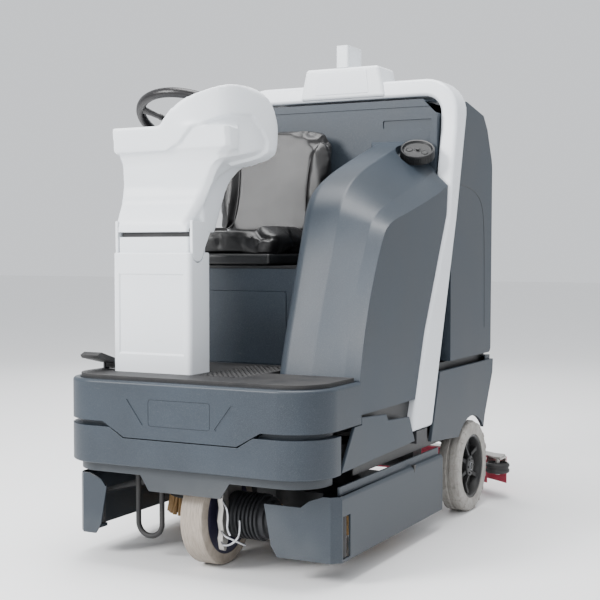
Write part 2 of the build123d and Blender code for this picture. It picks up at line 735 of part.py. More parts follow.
# ---------------------------------------------------------------- drive unit
def make_drive_unit():
    """Steer bearing, cast fork, drive motor and the front wheel."""
    ring = rod_z(0, DRIVE_Y, FORK_TOP_Z + 0.5, STEER_PLATE_Z, 88) - rod_z(0, DRIVE_Y, 300, 360, 62)
    add("steer_bearing", ring)

    inner = DRIVE_WHEEL_WIDTH / 2 + FREE
    outer = inner + FORK_ARM_THICK
    fork = rod_z(0, DRIVE_Y, FORK_TOP_Z - 16, FORK_TOP_Z, 92)
    fork += rod_z(0, DRIVE_Y, FORK_TOP_Z - 1, STEER_PLATE_Z + STEER_PLATE_THICK + 30, KINGPIN_R)
    for side in (-1, 1):
        arm = [(-46, FORK_TOP_Z - 2), (46, FORK_TOP_Z - 2), (40, 150), (22, 112), (-22, 112), (-40, 150)]
        arm = [(y + DRIVE_Y, z) for y, z in arm]
        fork += side_plate(arm, side * inner, side * outer)
        fork += rod_x(side * inner, side * outer, DRIVE_Y, DRIVE_WHEEL_R, 48)
    fork += rod_x(-outer + 1, outer - 1, DRIVE_Y, DRIVE_WHEEL_R, DRIVE_AXLE_R)
    add("front_fork", fork)

    motor = rod_x(outer, DRIVE_MOTOR_END_X - 30, DRIVE_Y, DRIVE_WHEEL_R, DRIVE_MOTOR_R)
    motor += rod_x(
        DRIVE_MOTOR_END_X - 31, DRIVE_MOTOR_END_X - 14, DRIVE_Y, DRIVE_WHEEL_R, DRIVE_MOTOR_R - 8
    )
    motor += rod_x(DRIVE_MOTOR_END_X - 15, DRIVE_MOTOR_END_X, DRIVE_Y, DRIVE_WHEEL_R, DRIVE_MOTOR_R - 18)
    for x in (outer + 26, outer + 46):
        motor -= rod_x(x, x + 5, DRIVE_Y, DRIVE_WHEEL_R, 90) - rod_x(x, x + 5, DRIVE_Y, DRIVE_WHEEL_R, 62)

    clamp = rod_x(outer + 2, outer + 22, DRIVE_Y, DRIVE_WHEEL_R, DRIVE_MOTOR_R + 6)
    clamp -= rod_x(outer, outer + 30, DRIVE_Y, DRIVE_WHEEL_R, DRIVE_MOTOR_R)
    clamp += block(
        outer + 2, outer + 22, DRIVE_Y - 92, DRIVE_Y - 70, DRIVE_WHEEL_R - 26, DRIVE_WHEEL_R + 26
    )
    clamp -= block(outer, outer + 30, DRIVE_Y - 100, DRIVE_Y - 60, DRIVE_WHEEL_R - 4, DRIVE_WHEEL_R + 4)
    clamp += rod_z(outer + 12, DRIVE_Y - 83, DRIVE_WHEEL_R - 34, DRIVE_WHEEL_R + 34, 5)
    add("drive_motor", motor, clamp)

    half = DRIVE_WHEEL_WIDTH / 2
    hub = rod_x(-half + 3, half - 3, DRIVE_Y, DRIVE_WHEEL_R, DRIVE_HUB_R)
    hub -= rod_x(half - 12, half, DRIVE_Y, DRIVE_WHEEL_R, 92) - rod_x(
        half - 12, half, DRIVE_Y, DRIVE_WHEEL_R, 46
    )
    hub -= rod_x(-half, 12 - half, DRIVE_Y, DRIVE_WHEEL_R, 92) - rod_x(
        -half, 12 - half, DRIVE_Y, DRIVE_WHEEL_R, 46
    )
    hub -= rod_x(-half, half, DRIVE_Y, DRIVE_WHEEL_R, DRIVE_AXLE_R + RUN)
    tread = rod_x(-half, half, DRIVE_Y, DRIVE_WHEEL_R, DRIVE_WHEEL_R)
    tread = chamfer(tread.edges().filter_by(GeomType.CIRCLE), 4)
    tread -= rod_x(-half - 1, half + 1, DRIVE_Y, DRIVE_WHEEL_R, DRIVE_HUB_R)
    add("front_wheel", hub, tread)


# ---------------------------------------------------------------- chassis and rear wheels
def make_chassis():
    """Welded frame: two rails, cross members, steering plate, axle plates and pivot lugs."""
    frame = None
    for side in (-1, 1):
        x = side * RAIL_X
        half = RAIL_WIDTH / 2
        rail = block(x - half, x + half, RAIL_FRONT_Y, RAIL_REAR_Y, RAIL_BOTTOM_Z, RAIL_TOP_Z)
        frame = rail if frame is None else frame + rail
        axle = [
            (REAR_AXLE_Y - 70, RAIL_BOTTOM_Z + 5), (REAR_AXLE_Y + 70, RAIL_BOTTOM_Z + 5),
            (REAR_AXLE_Y + 30, REAR_WHEEL_R - 30), (REAR_AXLE_Y - 30, REAR_WHEEL_R - 30),
        ]
        frame += side_plate(axle, x - half, x + half)
    inner = RAIL_X + 10
    cross_low = RAIL_BOTTOM_Z + 12
    for y0, y1 in ((RAIL_FRONT_Y, RAIL_FRONT_Y + 40), (-20, 20), (RAIL_REAR_Y - 40, RAIL_REAR_Y)):
        frame += block(-inner, inner, y0, y1, cross_low, RAIL_TOP_Z - 10)
    sill = BODY_HALF_WIDTH - SEAM
    frame += block(-sill, sill, -140, -50, HOOP_FOOT_Z - 40, HOOP_FOOT_Z - 0.3)
    for side in (-1, 1):
        x = side * RAIL_X
        frame += block(x - 20, x + 20, -140, -50, HOOP_FOOT_Z - 40, RAIL_BOTTOM_Z + 5)
    plate_top = STEER_PLATE_Z + STEER_PLATE_THICK
    frame += block(-RAIL_X - 20, RAIL_X + 20, DRIVE_Y - 110, RAIL_FRONT_Y + 60, STEER_PLATE_Z, plate_top)
    frame -= rod_z(0, DRIVE_Y, 300, 400, KINGPIN_R + RUN)
    beam = rod_x(-RAIL_X, RAIL_X, REAR_AXLE_Y, REAR_WHEEL_R, 26)
    frame += beam
    for y, z in ((ARM_CHASSIS_Y, ARM_CHASSIS_Z), (LIFT_Y, LIFT_Z)):
        beam_y = 0 if y == ARM_CHASSIS_Y else RAIL_REAR_Y - 20
        for side in (-1, 1):
            x = side * (ARM_X + ARM_WIDTH)
            lug = [
                (y - 22, z + 8), (y - 12, z - 22), (y + 12, z - 22), (y + 22, z + 8),
                (beam_y + 18, cross_low + 8), (beam_y - 18, cross_low + 8),
            ]
            frame += side_plate(lug, x - 6, x + 6)
    frame -= rod_x(-BODY_HALF_WIDTH, BODY_HALF_WIDTH, REAR_AXLE_Y, REAR_WHEEL_R, STUB_R)
    for y, z, radius in ((ARM_CHASSIS_Y, ARM_CHASSIS_Z, ARM_PIN_R), (LIFT_Y, LIFT_Z, LIFT_PIN_R)):
        frame += rod_x(-ARM_X - 30, ARM_X + 30, y, z, radius)
    add("chassis_frame", frame)
    axle_end = REAR_WHEEL_OUTER_X - 6
    add("rear_axle", rod_x(-axle_end, axle_end, REAR_AXLE_Y, REAR_WHEEL_R, STUB_R))


def make_rear_wheels():
    """Spoked rim with a hub, and a siped tyre, on each side."""
    outer = REAR_WHEEL_OUTER_X
    inner = outer - REAR_WHEEL_WIDTH
    rim = rod_x(inner + 6, outer - 8, REAR_AXLE_Y, REAR_WHEEL_R, REAR_RIM_R)
    dish = rod_x(outer - 30, outer, REAR_AXLE_Y, REAR_WHEEL_R, REAR_RIM_R - 12)
    dish -= rod_x(outer - 30, outer, REAR_AXLE_Y, REAR_WHEEL_R, 38)
    rim -= dish
    back = rod_x(inner, inner + 24, REAR_AXLE_Y, REAR_WHEEL_R, REAR_RIM_R - 12)
    rim -= back - rod_x(inner, inner + 24, REAR_AXLE_Y, REAR_WHEEL_R, 34)
    for index in range(REAR_POCKETS):
        turn = math.radians(index * 360 / REAR_POCKETS)
        y = REAR_AXLE_Y + 68 * math.cos(turn)
        z = REAR_WHEEL_R + 68 * math.sin(turn)
        rim -= rod_x(inner, outer, y, z, 20)
        spoke_turn = turn + math.pi / REAR_POCKETS
        spoke = Pos(0, 68, 0) * Box(22, 62, 12)
        rim += Pos(outer - 20, REAR_AXLE_Y, REAR_WHEEL_R) * Rot(math.degrees(spoke_turn), 0, 0) * spoke
    rim -= rod_x(inner, outer, REAR_AXLE_Y, REAR_WHEEL_R, STUB_R + RUN)
    tyre = rod_x(inner, outer, REAR_AXLE_Y, REAR_WHEEL_R, REAR_WHEEL_R)
    tyre = fillet(tyre.edges().filter_by(GeomType.CIRCLE), 7)
    tyre -= rod_x(inner - 1, outer + 1, REAR_AXLE_Y, REAR_WHEEL_R, REAR_RIM_R)
    add("rear_wheel_left", rim, tyre)
    add("rear_wheel_right", mirrored(rim), mirrored(tyre))


# ---------------------------------------------------------------- tanks
def solution_outline(x):
    """The solution tank in side view at one of its three sections."""
    rear = RECOVERY_FRONT_Y - SEAM
    if x == TANK_INNER_X:
        front = [(-536, TANK_BOTTOM_Z), (-534, 540), (-462, 755), (-387, 959), (-343, 1087), (-243, 1140)]
        return front + [(-30, 1218), (rear, 1288), (rear, TANK_BOTTOM_Z)]
    if x == TANK_CREASE_X:
        front = [(-542, TANK_BOTTOM_Z), (-548, 537), (-467, 753), (-375, 982), (-335, 1076), (-223, 1159)]
        return front + [(-20, 1226), (rear, 1286), (rear, TANK_BOTTOM_Z)]
    front = [(-556, TANK_BOTTOM_Z), (-560, 546), (-500, 759), (-397, 957), (-340, 1003), (-189, 1036)]
    return front + [(76, 1106), (rear, 1133), (rear, TANK_BOTTOM_Z)]


def filler_place():
    """The filler's frame: local Z leaves the tank, leaning forward and outward."""
    lean = Rot(CAP_LEAN, 0, 0) * Rot(0, 14, 0)
    return Pos(CAP_X, CAP_Y, 1232) * lean


def make_solution_tank():
    """Hollow tank with a filler neck, its screw cap and its drain tap."""
    sections = [(x, solution_outline(x)) for x in (TANK_INNER_X, TANK_CREASE_X, TANK_HALF_WIDTH)]
    outer = ruled_body(sections)
    walls = [
        (TANK_INNER_X + TANK_WALL, inset(solution_outline(TANK_INNER_X), TANK_WALL)),
        (TANK_CREASE_X, inset(solution_outline(TANK_CREASE_X), TANK_WALL)),
        (TANK_HALF_WIDTH - TANK_WALL, inset(solution_outline(TANK_HALF_WIDTH), TANK_WALL)),
    ]
    channel = behind_hoop()
    keep = block(0, BODY_HALF_WIDTH - HOOP_BAR - SEAM - TANK_WALL, -900, 900, 0, 2000)
    keep += side_plate(
        [(-900, 0), (-900, 2000), (60, 2000), (142 - 3 * TANK_WALL, 1037), (-53 - 3 * TANK_WALL, 664),
         (-175 - 3 * TANK_WALL, 340), (-220, 0)],
        0, BODY_HALF_WIDTH,
    )
    inner = ruled_body(walls) & keep
    place = filler_place()
    scoop = place * (Pos(0, 0, BOSS_DEPTH / 2) * Cylinder(CAP_R + 6, BOSS_DEPTH))
    neck = place * (Pos(0, 0, NECK_HEIGHT / 2 - 10) * Cylinder(NECK_R, NECK_HEIGHT + 20))
    neck += place * (Pos(0, 0, -BOSS_DEPTH / 2) * Cylinder(CAP_R + 6, BOSS_DEPTH))
    neck &= block(0, BODY_HALF_WIDTH, -900, RECOVERY_FRONT_Y - SEAM, 0, 2000)
    bore = place * Cylinder(NECK_R - 6, 120)
    tank = outer - scoop + neck - channel - inner - bore
    add("solution_tank", tank)

    cap = Pos(0, 0, 1 + CAP_HEIGHT / 2) * Cylinder(CAP_R, CAP_HEIGHT)
    cap -= Pos(0, 0, (NECK_HEIGHT + 1) / 2) * Cylinder(NECK_R + 1, NECK_HEIGHT + 2)
    for index in range(24):
        turn = math.radians(index * 15)
        groove = Pos(CAP_R * math.cos(turn), CAP_R * math.sin(turn), NECK_HEIGHT) * Cylinder(2.5, 80)
        cap -= groove
    cap += Pos(0, 0, CAP_HEIGHT + 4) * Box(CAP_R * 1.5, 12, 8)
    add("filler_cap", place * cap)


def recovery_outline():
    """The recovery tank in side view."""
    return [
        (RECOVERY_FRONT_Y, RECOVERY_LOW_Z),
        (RECOVERY_FRONT_Y, RECOVERY_TOP_Z),
        (LID_FRONT_Y - 12, RECOVERY_TOP_Z),
        (LID_REAR_Y + 16, RECOVERY_TOP_Z - LID_DROP),
        (RECOVERY_REAR_Y - 58, RECOVERY_TOP_Z - LID_DROP - 46),
        (RECOVERY_REAR_Y, 1236),
        (RECOVERY_REAR_Y - 8, RECOVERY_LOW_Z),
    ]


def make_recovery_tank():
    """Hollow tank behind the hoop, with its hinged lid."""
    outer = side_plate(recovery_outline(), -TANK_HALF_WIDTH, TANK_HALF_WIDTH)
    half = TANK_HALF_WIDTH - TANK_WALL
    inner = side_plate(inset(recovery_outline(), TANK_WALL), -half, half)
    clear = BODY_HALF_WIDTH - HOOP_BAR - SEAM - TANK_WALL
    step = 4 * TANK_WALL
    low_rear, high_rear = HOOP_REAR_LINE[1:]
    outline = [(high_rear[0] + step, OVER_Z), (high_rear[0] + step, high_rear[1])]
    outline += [(low_rear[0] + step, low_rear[1])]
    outline += [(low_rear[0] - 160 + step, 500), (PAST, 500), (PAST, OVER_Z)]
    keep = block(-clear, clear, 0, PAST, 0, OVER_Z) + side_plate(outline, -half, half)
    mouth_half = LID_HALF_WIDTH - 24
    drop = math.degrees(math.atan2(LID_DROP, LID_REAR_Y + 28 - LID_FRONT_Y))
    place = Pos(0, LID_FRONT_Y, RECOVERY_TOP_Z) * Rot(-drop, 0, 0)
    length = LID_REAR_Y - LID_FRONT_Y
    mouth = place * (Pos(0, length / 2, 0) * Box(2 * mouth_half, length - 48, 60))
    tank = outer - ahead_of_hoop() - (inner & keep) - mouth
    tank -= rod_z(0, 560, RECOVERY_LOW_Z - 5, RECOVERY_LOW_Z + 20, HOSE_R - HOSE_WALL)
    front = RECOVERY_FRONT_Y
    tank -= block(
        -BODY_HALF_WIDTH, BODY_HALF_WIDTH, front - 1, front + 3, RECOVERY_PARTING_Z, RECOVERY_PARTING_Z + 4
    )
    grip = block(170, BODY_HALF_WIDTH - HOOP_BAR - 20, front - 1, front + 4, 1336, 1364)
    tank -= fillet(grip.edges().filter_by(Axis.Y), 6)
    inner_x = BODY_HALF_WIDTH - HOOP_BAR
    under_bar = HOOP_TOP_Z - HOOP_BAR
    for side in (-1, 1):
        tank += place * (Pos(side * 220, length + 12, 6) * Box(30, 14, 20))
        corner = [
            (side * (inner_x - 70), under_bar + 1), (side * (inner_x - 4), under_bar - 65),
            (side * (inner_x + 1), under_bar - 65), (side * (inner_x + 1), under_bar + 1),
        ]
        tank -= front_plate(corner, front - 1, LID_FRONT_Y - 8)
    tank -= place * (Pos(0, length + 12, 9) * Rot(0, 90, 0) * Cylinder(LID_HINGE_R + RUN, 700))
    tank -= filler_place() * (Pos(0, 0, CAP_HEIGHT / 2) * Cylinder(CAP_R + SEAM, CAP_HEIGHT + 2 * SEAM))
    add("recovery_tank", tank)

    lid = place * (Pos(0, length / 2, 1 + LID_THICK / 2) * Box(2 * LID_HALF_WIDTH, length, LID_THICK))
    lid -= place * (
        Pos(0, length / 2, LID_THICK / 2 - 3) * Box(2 * LID_HALF_WIDTH - 12, length - 12, LID_THICK - 3)
    )
    lid += place * (Pos(0, length + 6, 9) * Box(380, 14, 14))
    lid += place * (Pos(0, length + 12, 9) * Rot(0, 90, 0) * Cylinder(LID_HINGE_R, 490))
    add("recovery_lid", lid)


# ---------------------------------------------------------------- seat and battery compartment
def make_battery_compartment():
    """Battery box, its hatch, four batteries, the seat deck and the right side cover."""
    left = TANK_INNER_X - SEAM
    low = RAIL_TOP_Z + 4
    box = block(BATTERY_RIGHT_X, left, BATTERY_FRONT_Y, BATTERY_REAR_Y, low, DECK_COVER_Z)
    box -= block(
        BATTERY_RIGHT_X + COVER_WALL, left - COVER_WALL, BATTERY_FRONT_Y + COVER_WALL,
        BATTERY_REAR_Y - COVER_WALL,
        low + COVER_WALL, DECK_COVER_Z + 1,
    )
    hatch_left, hatch_right = left - 60, BATTERY_RIGHT_X + 60
    box -= block(hatch_right, hatch_left, BATTERY_FRONT_Y - 1, BATTERY_FRONT_Y + 2, 560, 790)
    hatch = block(hatch_right + 1, hatch_left - 1, BATTERY_FRONT_Y - 2, BATTERY_FRONT_Y + 2, 561, 789)
    add("battery_box", box, fillet(hatch.edges().filter_by(Axis.Y), 12))

    centre_x = (left + BATTERY_RIGHT_X) / 2
    centre_y = (BATTERY_FRONT_Y + BATTERY_REAR_Y) / 2
    batteries = None
    for ix in (-1, 1):
        for iy in (-1, 1):
            x = centre_x + ix * (BATTERY_WIDTH + BATTERY_GAP) / 2
            y = centre_y + iy * (BATTERY_LENGTH + BATTERY_GAP) / 2
            floor = low + COVER_WALL
            body = block(
                x - BATTERY_WIDTH / 2, x + BATTERY_WIDTH / 2, y - BATTERY_LENGTH / 2,
                y + BATTERY_LENGTH / 2,
                floor, floor + BATTERY_HEIGHT,
            )
            for end in (-1, 1):
                body += rod_z(
                    x + end * 50, y + 80, floor + BATTERY_HEIGHT - 1, floor + BATTERY_HEIGHT + 14, 9
                )
            batteries = body if batteries is None else batteries + body
    add("batteries", batteries)

    outer_x = -TANK_HALF_WIDTH
    inner_x = BATTERY_RIGHT_X - 1
    cover = block(outer_x, inner_x, BATTERY_FRONT_Y, 100, RAIL_TOP_Z + 30, DECK_COVER_Z)
    cover -= block(
        outer_x + COVER_WALL, inner_x + 1, BATTERY_FRONT_Y + COVER_WALL, 101, RAIL_TOP_Z + 29,
        DECK_COVER_Z - COVER_WALL
    )
    cover -= behind_hoop()
    add("side_cover_right", cover)


def make_seat():
    """Seat on two runners: pan, cushion and back."""
    top = DECK_COVER_Z + DECK_COVER_THICK
    rails = None
    for side in (-1, 1):
        x = SEAT_X + side * 120
        rail = block(x - 18, x + 18, BATTERY_FRONT_Y + 20, 20, top, top + 10)
        rails = rail if rails is None else rails + rail
    deck = block(
        BATTERY_RIGHT_X, TANK_INNER_X - SEAM, BATTERY_FRONT_Y - 4, BATTERY_REAR_Y, DECK_COVER_Z, top
    )
    add("seat_deck", deck + rails)

    low = top + 10.3
    pan = None
    for side in (-1, 1):
        x = SEAT_X + side * 120
        pad = block(x - 24, x + 24, CUSHION_FRONT_Y + 90, 10, low, low + 8)
        pan = pad if pan is None else pan + pad
    pan += block(
        SEAT_X - 180, SEAT_X + 180, CUSHION_FRONT_Y + 30, 52, low + 7, CUSHION_LOW_Z - 1
    )
    for side in (-1, 1):
        x = SEAT_X + side * 90
        bracket = [
            (30, low + 7), (60, low + 7), (70, 1000), (128, 1186),
            (116, 1190), (60, 1004), (50, 934), (30, 926),
        ]
        pan += side_plate(bracket, x - 15, x + 15)
    add("seat_frame", pan)

    cushion = [
        (CUSHION_FRONT_Y, CUSHION_LOW_Z + 10), (CUSHION_FRONT_Y + 10, CUSHION_TOP_Z - 14),
        (CUSHION_FRONT_Y + 50, CUSHION_TOP_Z), (0, CUSHION_TOP_Z - 8), (2, CUSHION_LOW_Z),
        (CUSHION_FRONT_Y + 20, CUSHION_LOW_Z),
    ]
    add("seat_cushion", side_plate(cushion, SEAT_X - SEAT_HALF_WIDTH, SEAT_X + SEAT_HALF_WIDTH))
    back = [
        (10, CUSHION_TOP_Z - 20), (48, CUSHION_TOP_Z - 26), (58, 1005), (112, BACK_TOP_Z - 150),
        (136, BACK_TOP_Z), (90, BACK_TOP_Z), (40, 1050),
    ]
    solid = side_plate(back, SEAT_X - SEAT_BACK_HALF_WIDTH, SEAT_X + SEAT_BACK_HALF_WIDTH)
    add("seat_back", solid)


# ---------------------------------------------------------------- hoop and side covers
def make_hoop():
    """Leaning protective hoop with its blank badge box and beacon post."""
    half = BODY_HALF_WIDTH
    outer = block(-half, half, -300, 500, HOOP_FOOT_Z, HOOP_TOP_Z)
    top = outer.edges().filter_by(Axis.Y).group_by(Axis.Z)[-1]
    outer = fillet(top, HOOP_CORNER_R)
    inner = block(-half + HOOP_BAR, half - HOOP_BAR, -301, 501, HOOP_FOOT_Z - 1, HOOP_TOP_Z - HOOP_BAR)
    top = inner.edges().filter_by(Axis.Y).group_by(Axis.Z)[-1]
    inner = fillet(top, HOOP_CORNER_R - HOOP_BAR)
    hoop = (outer - inner) & side_plate(hoop_outline(), -half, half)
    add("hoop_frame", hoop)

    trapezoid = [
        (-BADGE_BOX_LOW_HALF, BADGE_BOX_LOW_Z), (BADGE_BOX_LOW_HALF, BADGE_BOX_LOW_Z),
        (BADGE_BOX_TOP_HALF, BADGE_BOX_TOP_Z), (-BADGE_BOX_TOP_HALF, BADGE_BOX_TOP_Z),
    ]
    front = 218 - BADGE_BOX_WALL
    box = front_plate(trapezoid, front, 334 + BADGE_BOX_WALL)
    box -= side_plate(hoop_outline(0.3), -half, half) & block(-half, half, 0, 500, 1200, HOOP_TOP_Z + 0.3)
    add("hoop_badge_box", box)

    post = block(-POST_HALF_X, POST_HALF_X, POST_FRONT_Y + 6, POST_REAR_Y - 6, BADGE_BOX_TOP_Z, POST_TOP_Z)
    post = fillet(vertical_edges(post), 6)
    middle = (POST_FRONT_Y + POST_REAR_Y) / 2
    post -= rod_z(0, middle, POST_TOP_Z - POST_BORE_DEPTH, POST_TOP_Z + 1, POST_BORE_R)
    add("beacon_post", post)


def make_side_covers():
    """Sill trims in front of the hoop and rear fenders behind it."""
    under_bumper = POCKET_TOP_Z - SEAM
    trim = [
        (BAND_REAR_Y + SEAM, 308), (-612, under_bumper), (BUMPER_REAR_Y + SEAM, under_bumper),
        (BUMPER_REAR_Y + SEAM, 446), (-388, 434), (-370, 414), (-205, 404), (-160, 322),
    ]
    left = side_plate(trim, BODY_HALF_WIDTH - 9, BODY_HALF_WIDTH) - hoop_channel()
    add("side_trims", left, mirrored(left))

    fender = [
        (-20, 300), (60, 520), (RECOVERY_REAR_Y - 8, 520), (RECOVERY_REAR_Y - 14, 470),
        (520, 322), (500, 262), (440, 262),
    ]
    solid = side_plate(fender, BODY_HALF_WIDTH - 12, BODY_HALF_WIDTH)
    solid -= rod_x(
        BODY_HALF_WIDTH - 20, BODY_HALF_WIDTH + 5, REAR_AXLE_Y, REAR_WHEEL_R, REAR_WHEEL_R + ARCH_GAP
    )
    solid -= ahead_of_hoop()
    solid = max(solid.solids(), key=lambda piece: piece.volume)

    tail = block(
        -BODY_HALF_WIDTH + 13, BODY_HALF_WIDTH - 13, RECOVERY_REAR_Y - 60, RECOVERY_REAR_Y - 8, 440, 535
    )
    tail -= block(
        -BODY_HALF_WIDTH + 18, BODY_HALF_WIDTH - 18, RECOVERY_REAR_Y - 61, RECOVERY_REAR_Y - 13, 439, 530
    )
    tail -= rod_z(0, 560, 400, 600, HOSE_R + FREE)
    tail -= block(-HOSE_R - FREE, HOSE_R + FREE, 560, RECOVERY_REAR_Y, 400, 480)
    add("rear_fenders", solid, mirrored(solid), tail)


# ---------------------------------------------------------------- scrub deck
def link_arm(start, end, x, eye, pin):
    """A flat link between two (Y, Z) pivots, with an eye at each end."""
    (ay, az), (by, bz) = start, end
    length = math.hypot(by - ay, bz - az)
    ny, nz = -(bz - az) / length * eye * 0.6, (by - ay) / length * eye * 0.6
    outline = [(ay + ny, az + nz), (by + ny, bz + nz), (by - ny, bz - nz), (ay - ny, az - nz)]
    half = ARM_WIDTH / 2
    arm = side_plate(outline, x - half, x + half)
    arm += rod_x(x - half, x + half, ay, az, eye)
    arm += rod_x(x - half, x + half, by, bz, eye)
    arm -= rod_x(x - half - 1, x + half + 1, ay, az, pin + RUN)
    arm -= rod_x(x - half - 1, x + half + 1, by, bz, pin + RUN)
    return arm


def make_deck():
    """Deck plate with rims and pivot ears, brush motors, disc brushes and the pair of lift arms."""
    top = DECK_PLATE_Z + DECK_PLATE_THICK
    deck = block(-BRUSH_X, BRUSH_X, BRUSH_Y - 110, BRUSH_Y + 110, DECK_PLATE_Z, top)
    for side in (-1, 1):
        x = side * BRUSH_X
        deck += rod_z(x, BRUSH_Y, DECK_PLATE_Z, top, DECK_RIM_R)
    rims = None
    for side in (-1, 1):
        x = side * BRUSH_X
        rim = rod_z(x, BRUSH_Y, DECK_PLATE_Z - DECK_RIM_DROP, DECK_PLATE_Z + 1, DECK_RIM_R)
        rims = rim if rims is None else rims + rim
    rims += block(
        -BRUSH_X, BRUSH_X, BRUSH_Y - 110, BRUSH_Y + 110, DECK_PLATE_Z - DECK_RIM_DROP, DECK_PLATE_Z + 1
    )
    for side in (-1, 1):
        x = side * BRUSH_X
        rims -= rod_z(x, BRUSH_Y, DECK_PLATE_Z - DECK_RIM_DROP - 1, DECK_PLATE_Z, DECK_RIM_R - SKIRT_WALL)
    web = block(
        -BRUSH_X, BRUSH_X, BRUSH_Y - 110 + SKIRT_WALL, BRUSH_Y + 110 - SKIRT_WALL,
        DECK_PLATE_Z - DECK_RIM_DROP - 1, DECK_PLATE_Z,
    )
    deck += rims - web
    for side in (-1, 1):
        x = side * BRUSH_X
        deck -= rod_z(x, BRUSH_Y, DECK_PLATE_Z - 1, top + 1, BRUSH_SHAFT_R + FREE)
        arm = [
            (x, BRUSH_Y - 120), (side * (SKIRT_HINGE_X - 14), SKIRT_HINGE_Y - 10),
            (side * (SKIRT_HINGE_X + 12), SKIRT_HINGE_Y - 10),
            (side * (SKIRT_HINGE_X + 12), SKIRT_HINGE_Y + 60),
            (side * (BRUSH_X + 150), BRUSH_Y - 60),
        ]
        deck += plan_plate(arm, DECK_PLATE_Z, top)
        hinge_x = side * SKIRT_HINGE_X
        deck += rod_z(hinge_x, SKIRT_HINGE_Y, SKIRT_BOTTOM_Z + 14, SKIRT_FRONT_Z - 6, SKIRT_PIN_R)
        tie = side * (ARM_X - ARM_WIDTH)
        ear = [
            (ARM_DECK_Y - 24, top - 1), (ARM_DECK_Y - 14, ARM_DECK_Z + 16),
            (ARM_DECK_Y + 14, ARM_DECK_Z + 16),
            (ARM_DECK_Y + 24, top - 1),
        ]
        deck += side_plate(ear, tie - 5, tie + 5)
    deck += rod_x(-ARM_X - 12, ARM_X + 12, ARM_DECK_Y, ARM_DECK_Z, ARM_PIN_R)
    add("deck_plate", deck)

    arms = None
    for side in (-1, 1):
        arm = link_arm(
            (ARM_CHASSIS_Y, ARM_CHASSIS_Z), (ARM_DECK_Y, ARM_DECK_Z), side * ARM_X, ARM_EYE_R, ARM_PIN_R
        )
        arms = arm if arms is None else arms + arm
    arms += block(-ARM_X, ARM_X, 30, 44, ARM_CHASSIS_Z - 6, ARM_CHASSIS_Z + 10)
    add("deck_lift_arms", arms)

    motors = []
    for side, tag in ((1, "left"), (-1, "right")):
        x = side * BRUSH_X
        motor = rod_z(x, BRUSH_Y, top, top + BRUSH_MOTOR_HEIGHT, BRUSH_MOTOR_R)
        motor = chamfer(motor.edges().filter_by(GeomType.CIRCLE).group_by(Axis.Z)[-1], 10)
        motor += block(x - 74, x + 74, BRUSH_Y - 40, BRUSH_Y + 40, top, top + 14)
        motor -= rod_z(x, BRUSH_Y, top - 1, top + 40, BRUSH_SHAFT_R + RUN)
        motors.append(motor)

        brush = rod_z(x, BRUSH_Y, BRUSH_BODY_Z, BRUSH_BODY_Z + BRUSH_BODY_THICK, BRUSH_R - 12)
        brush += rod_z(x, BRUSH_Y, BRUSH_BODY_Z + BRUSH_BODY_THICK - 1, top + 38, BRUSH_SHAFT_R)
        brush += rod_z(x, BRUSH_Y, BRUSH_BODY_Z + BRUSH_BODY_THICK - 1, DECK_PLATE_Z - 8, 42)
        bristles = rod_z(x, BRUSH_Y, BRISTLE_BOTTOM_Z, BRUSH_BODY_Z, BRUSH_R - 14)
        bristles -= rod_z(x, BRUSH_Y, BRISTLE_BOTTOM_Z - 1, BRUSH_BODY_Z + 1, BRUSH_R - 90)
        add(f"brush_{tag}", brush, bristles)
    add("brush_motors", *motors)


def roller_place():
    """The corner roller's centre in plan."""
    return SKIRT_X - 19, SKIRT_FRONT_Y + 54


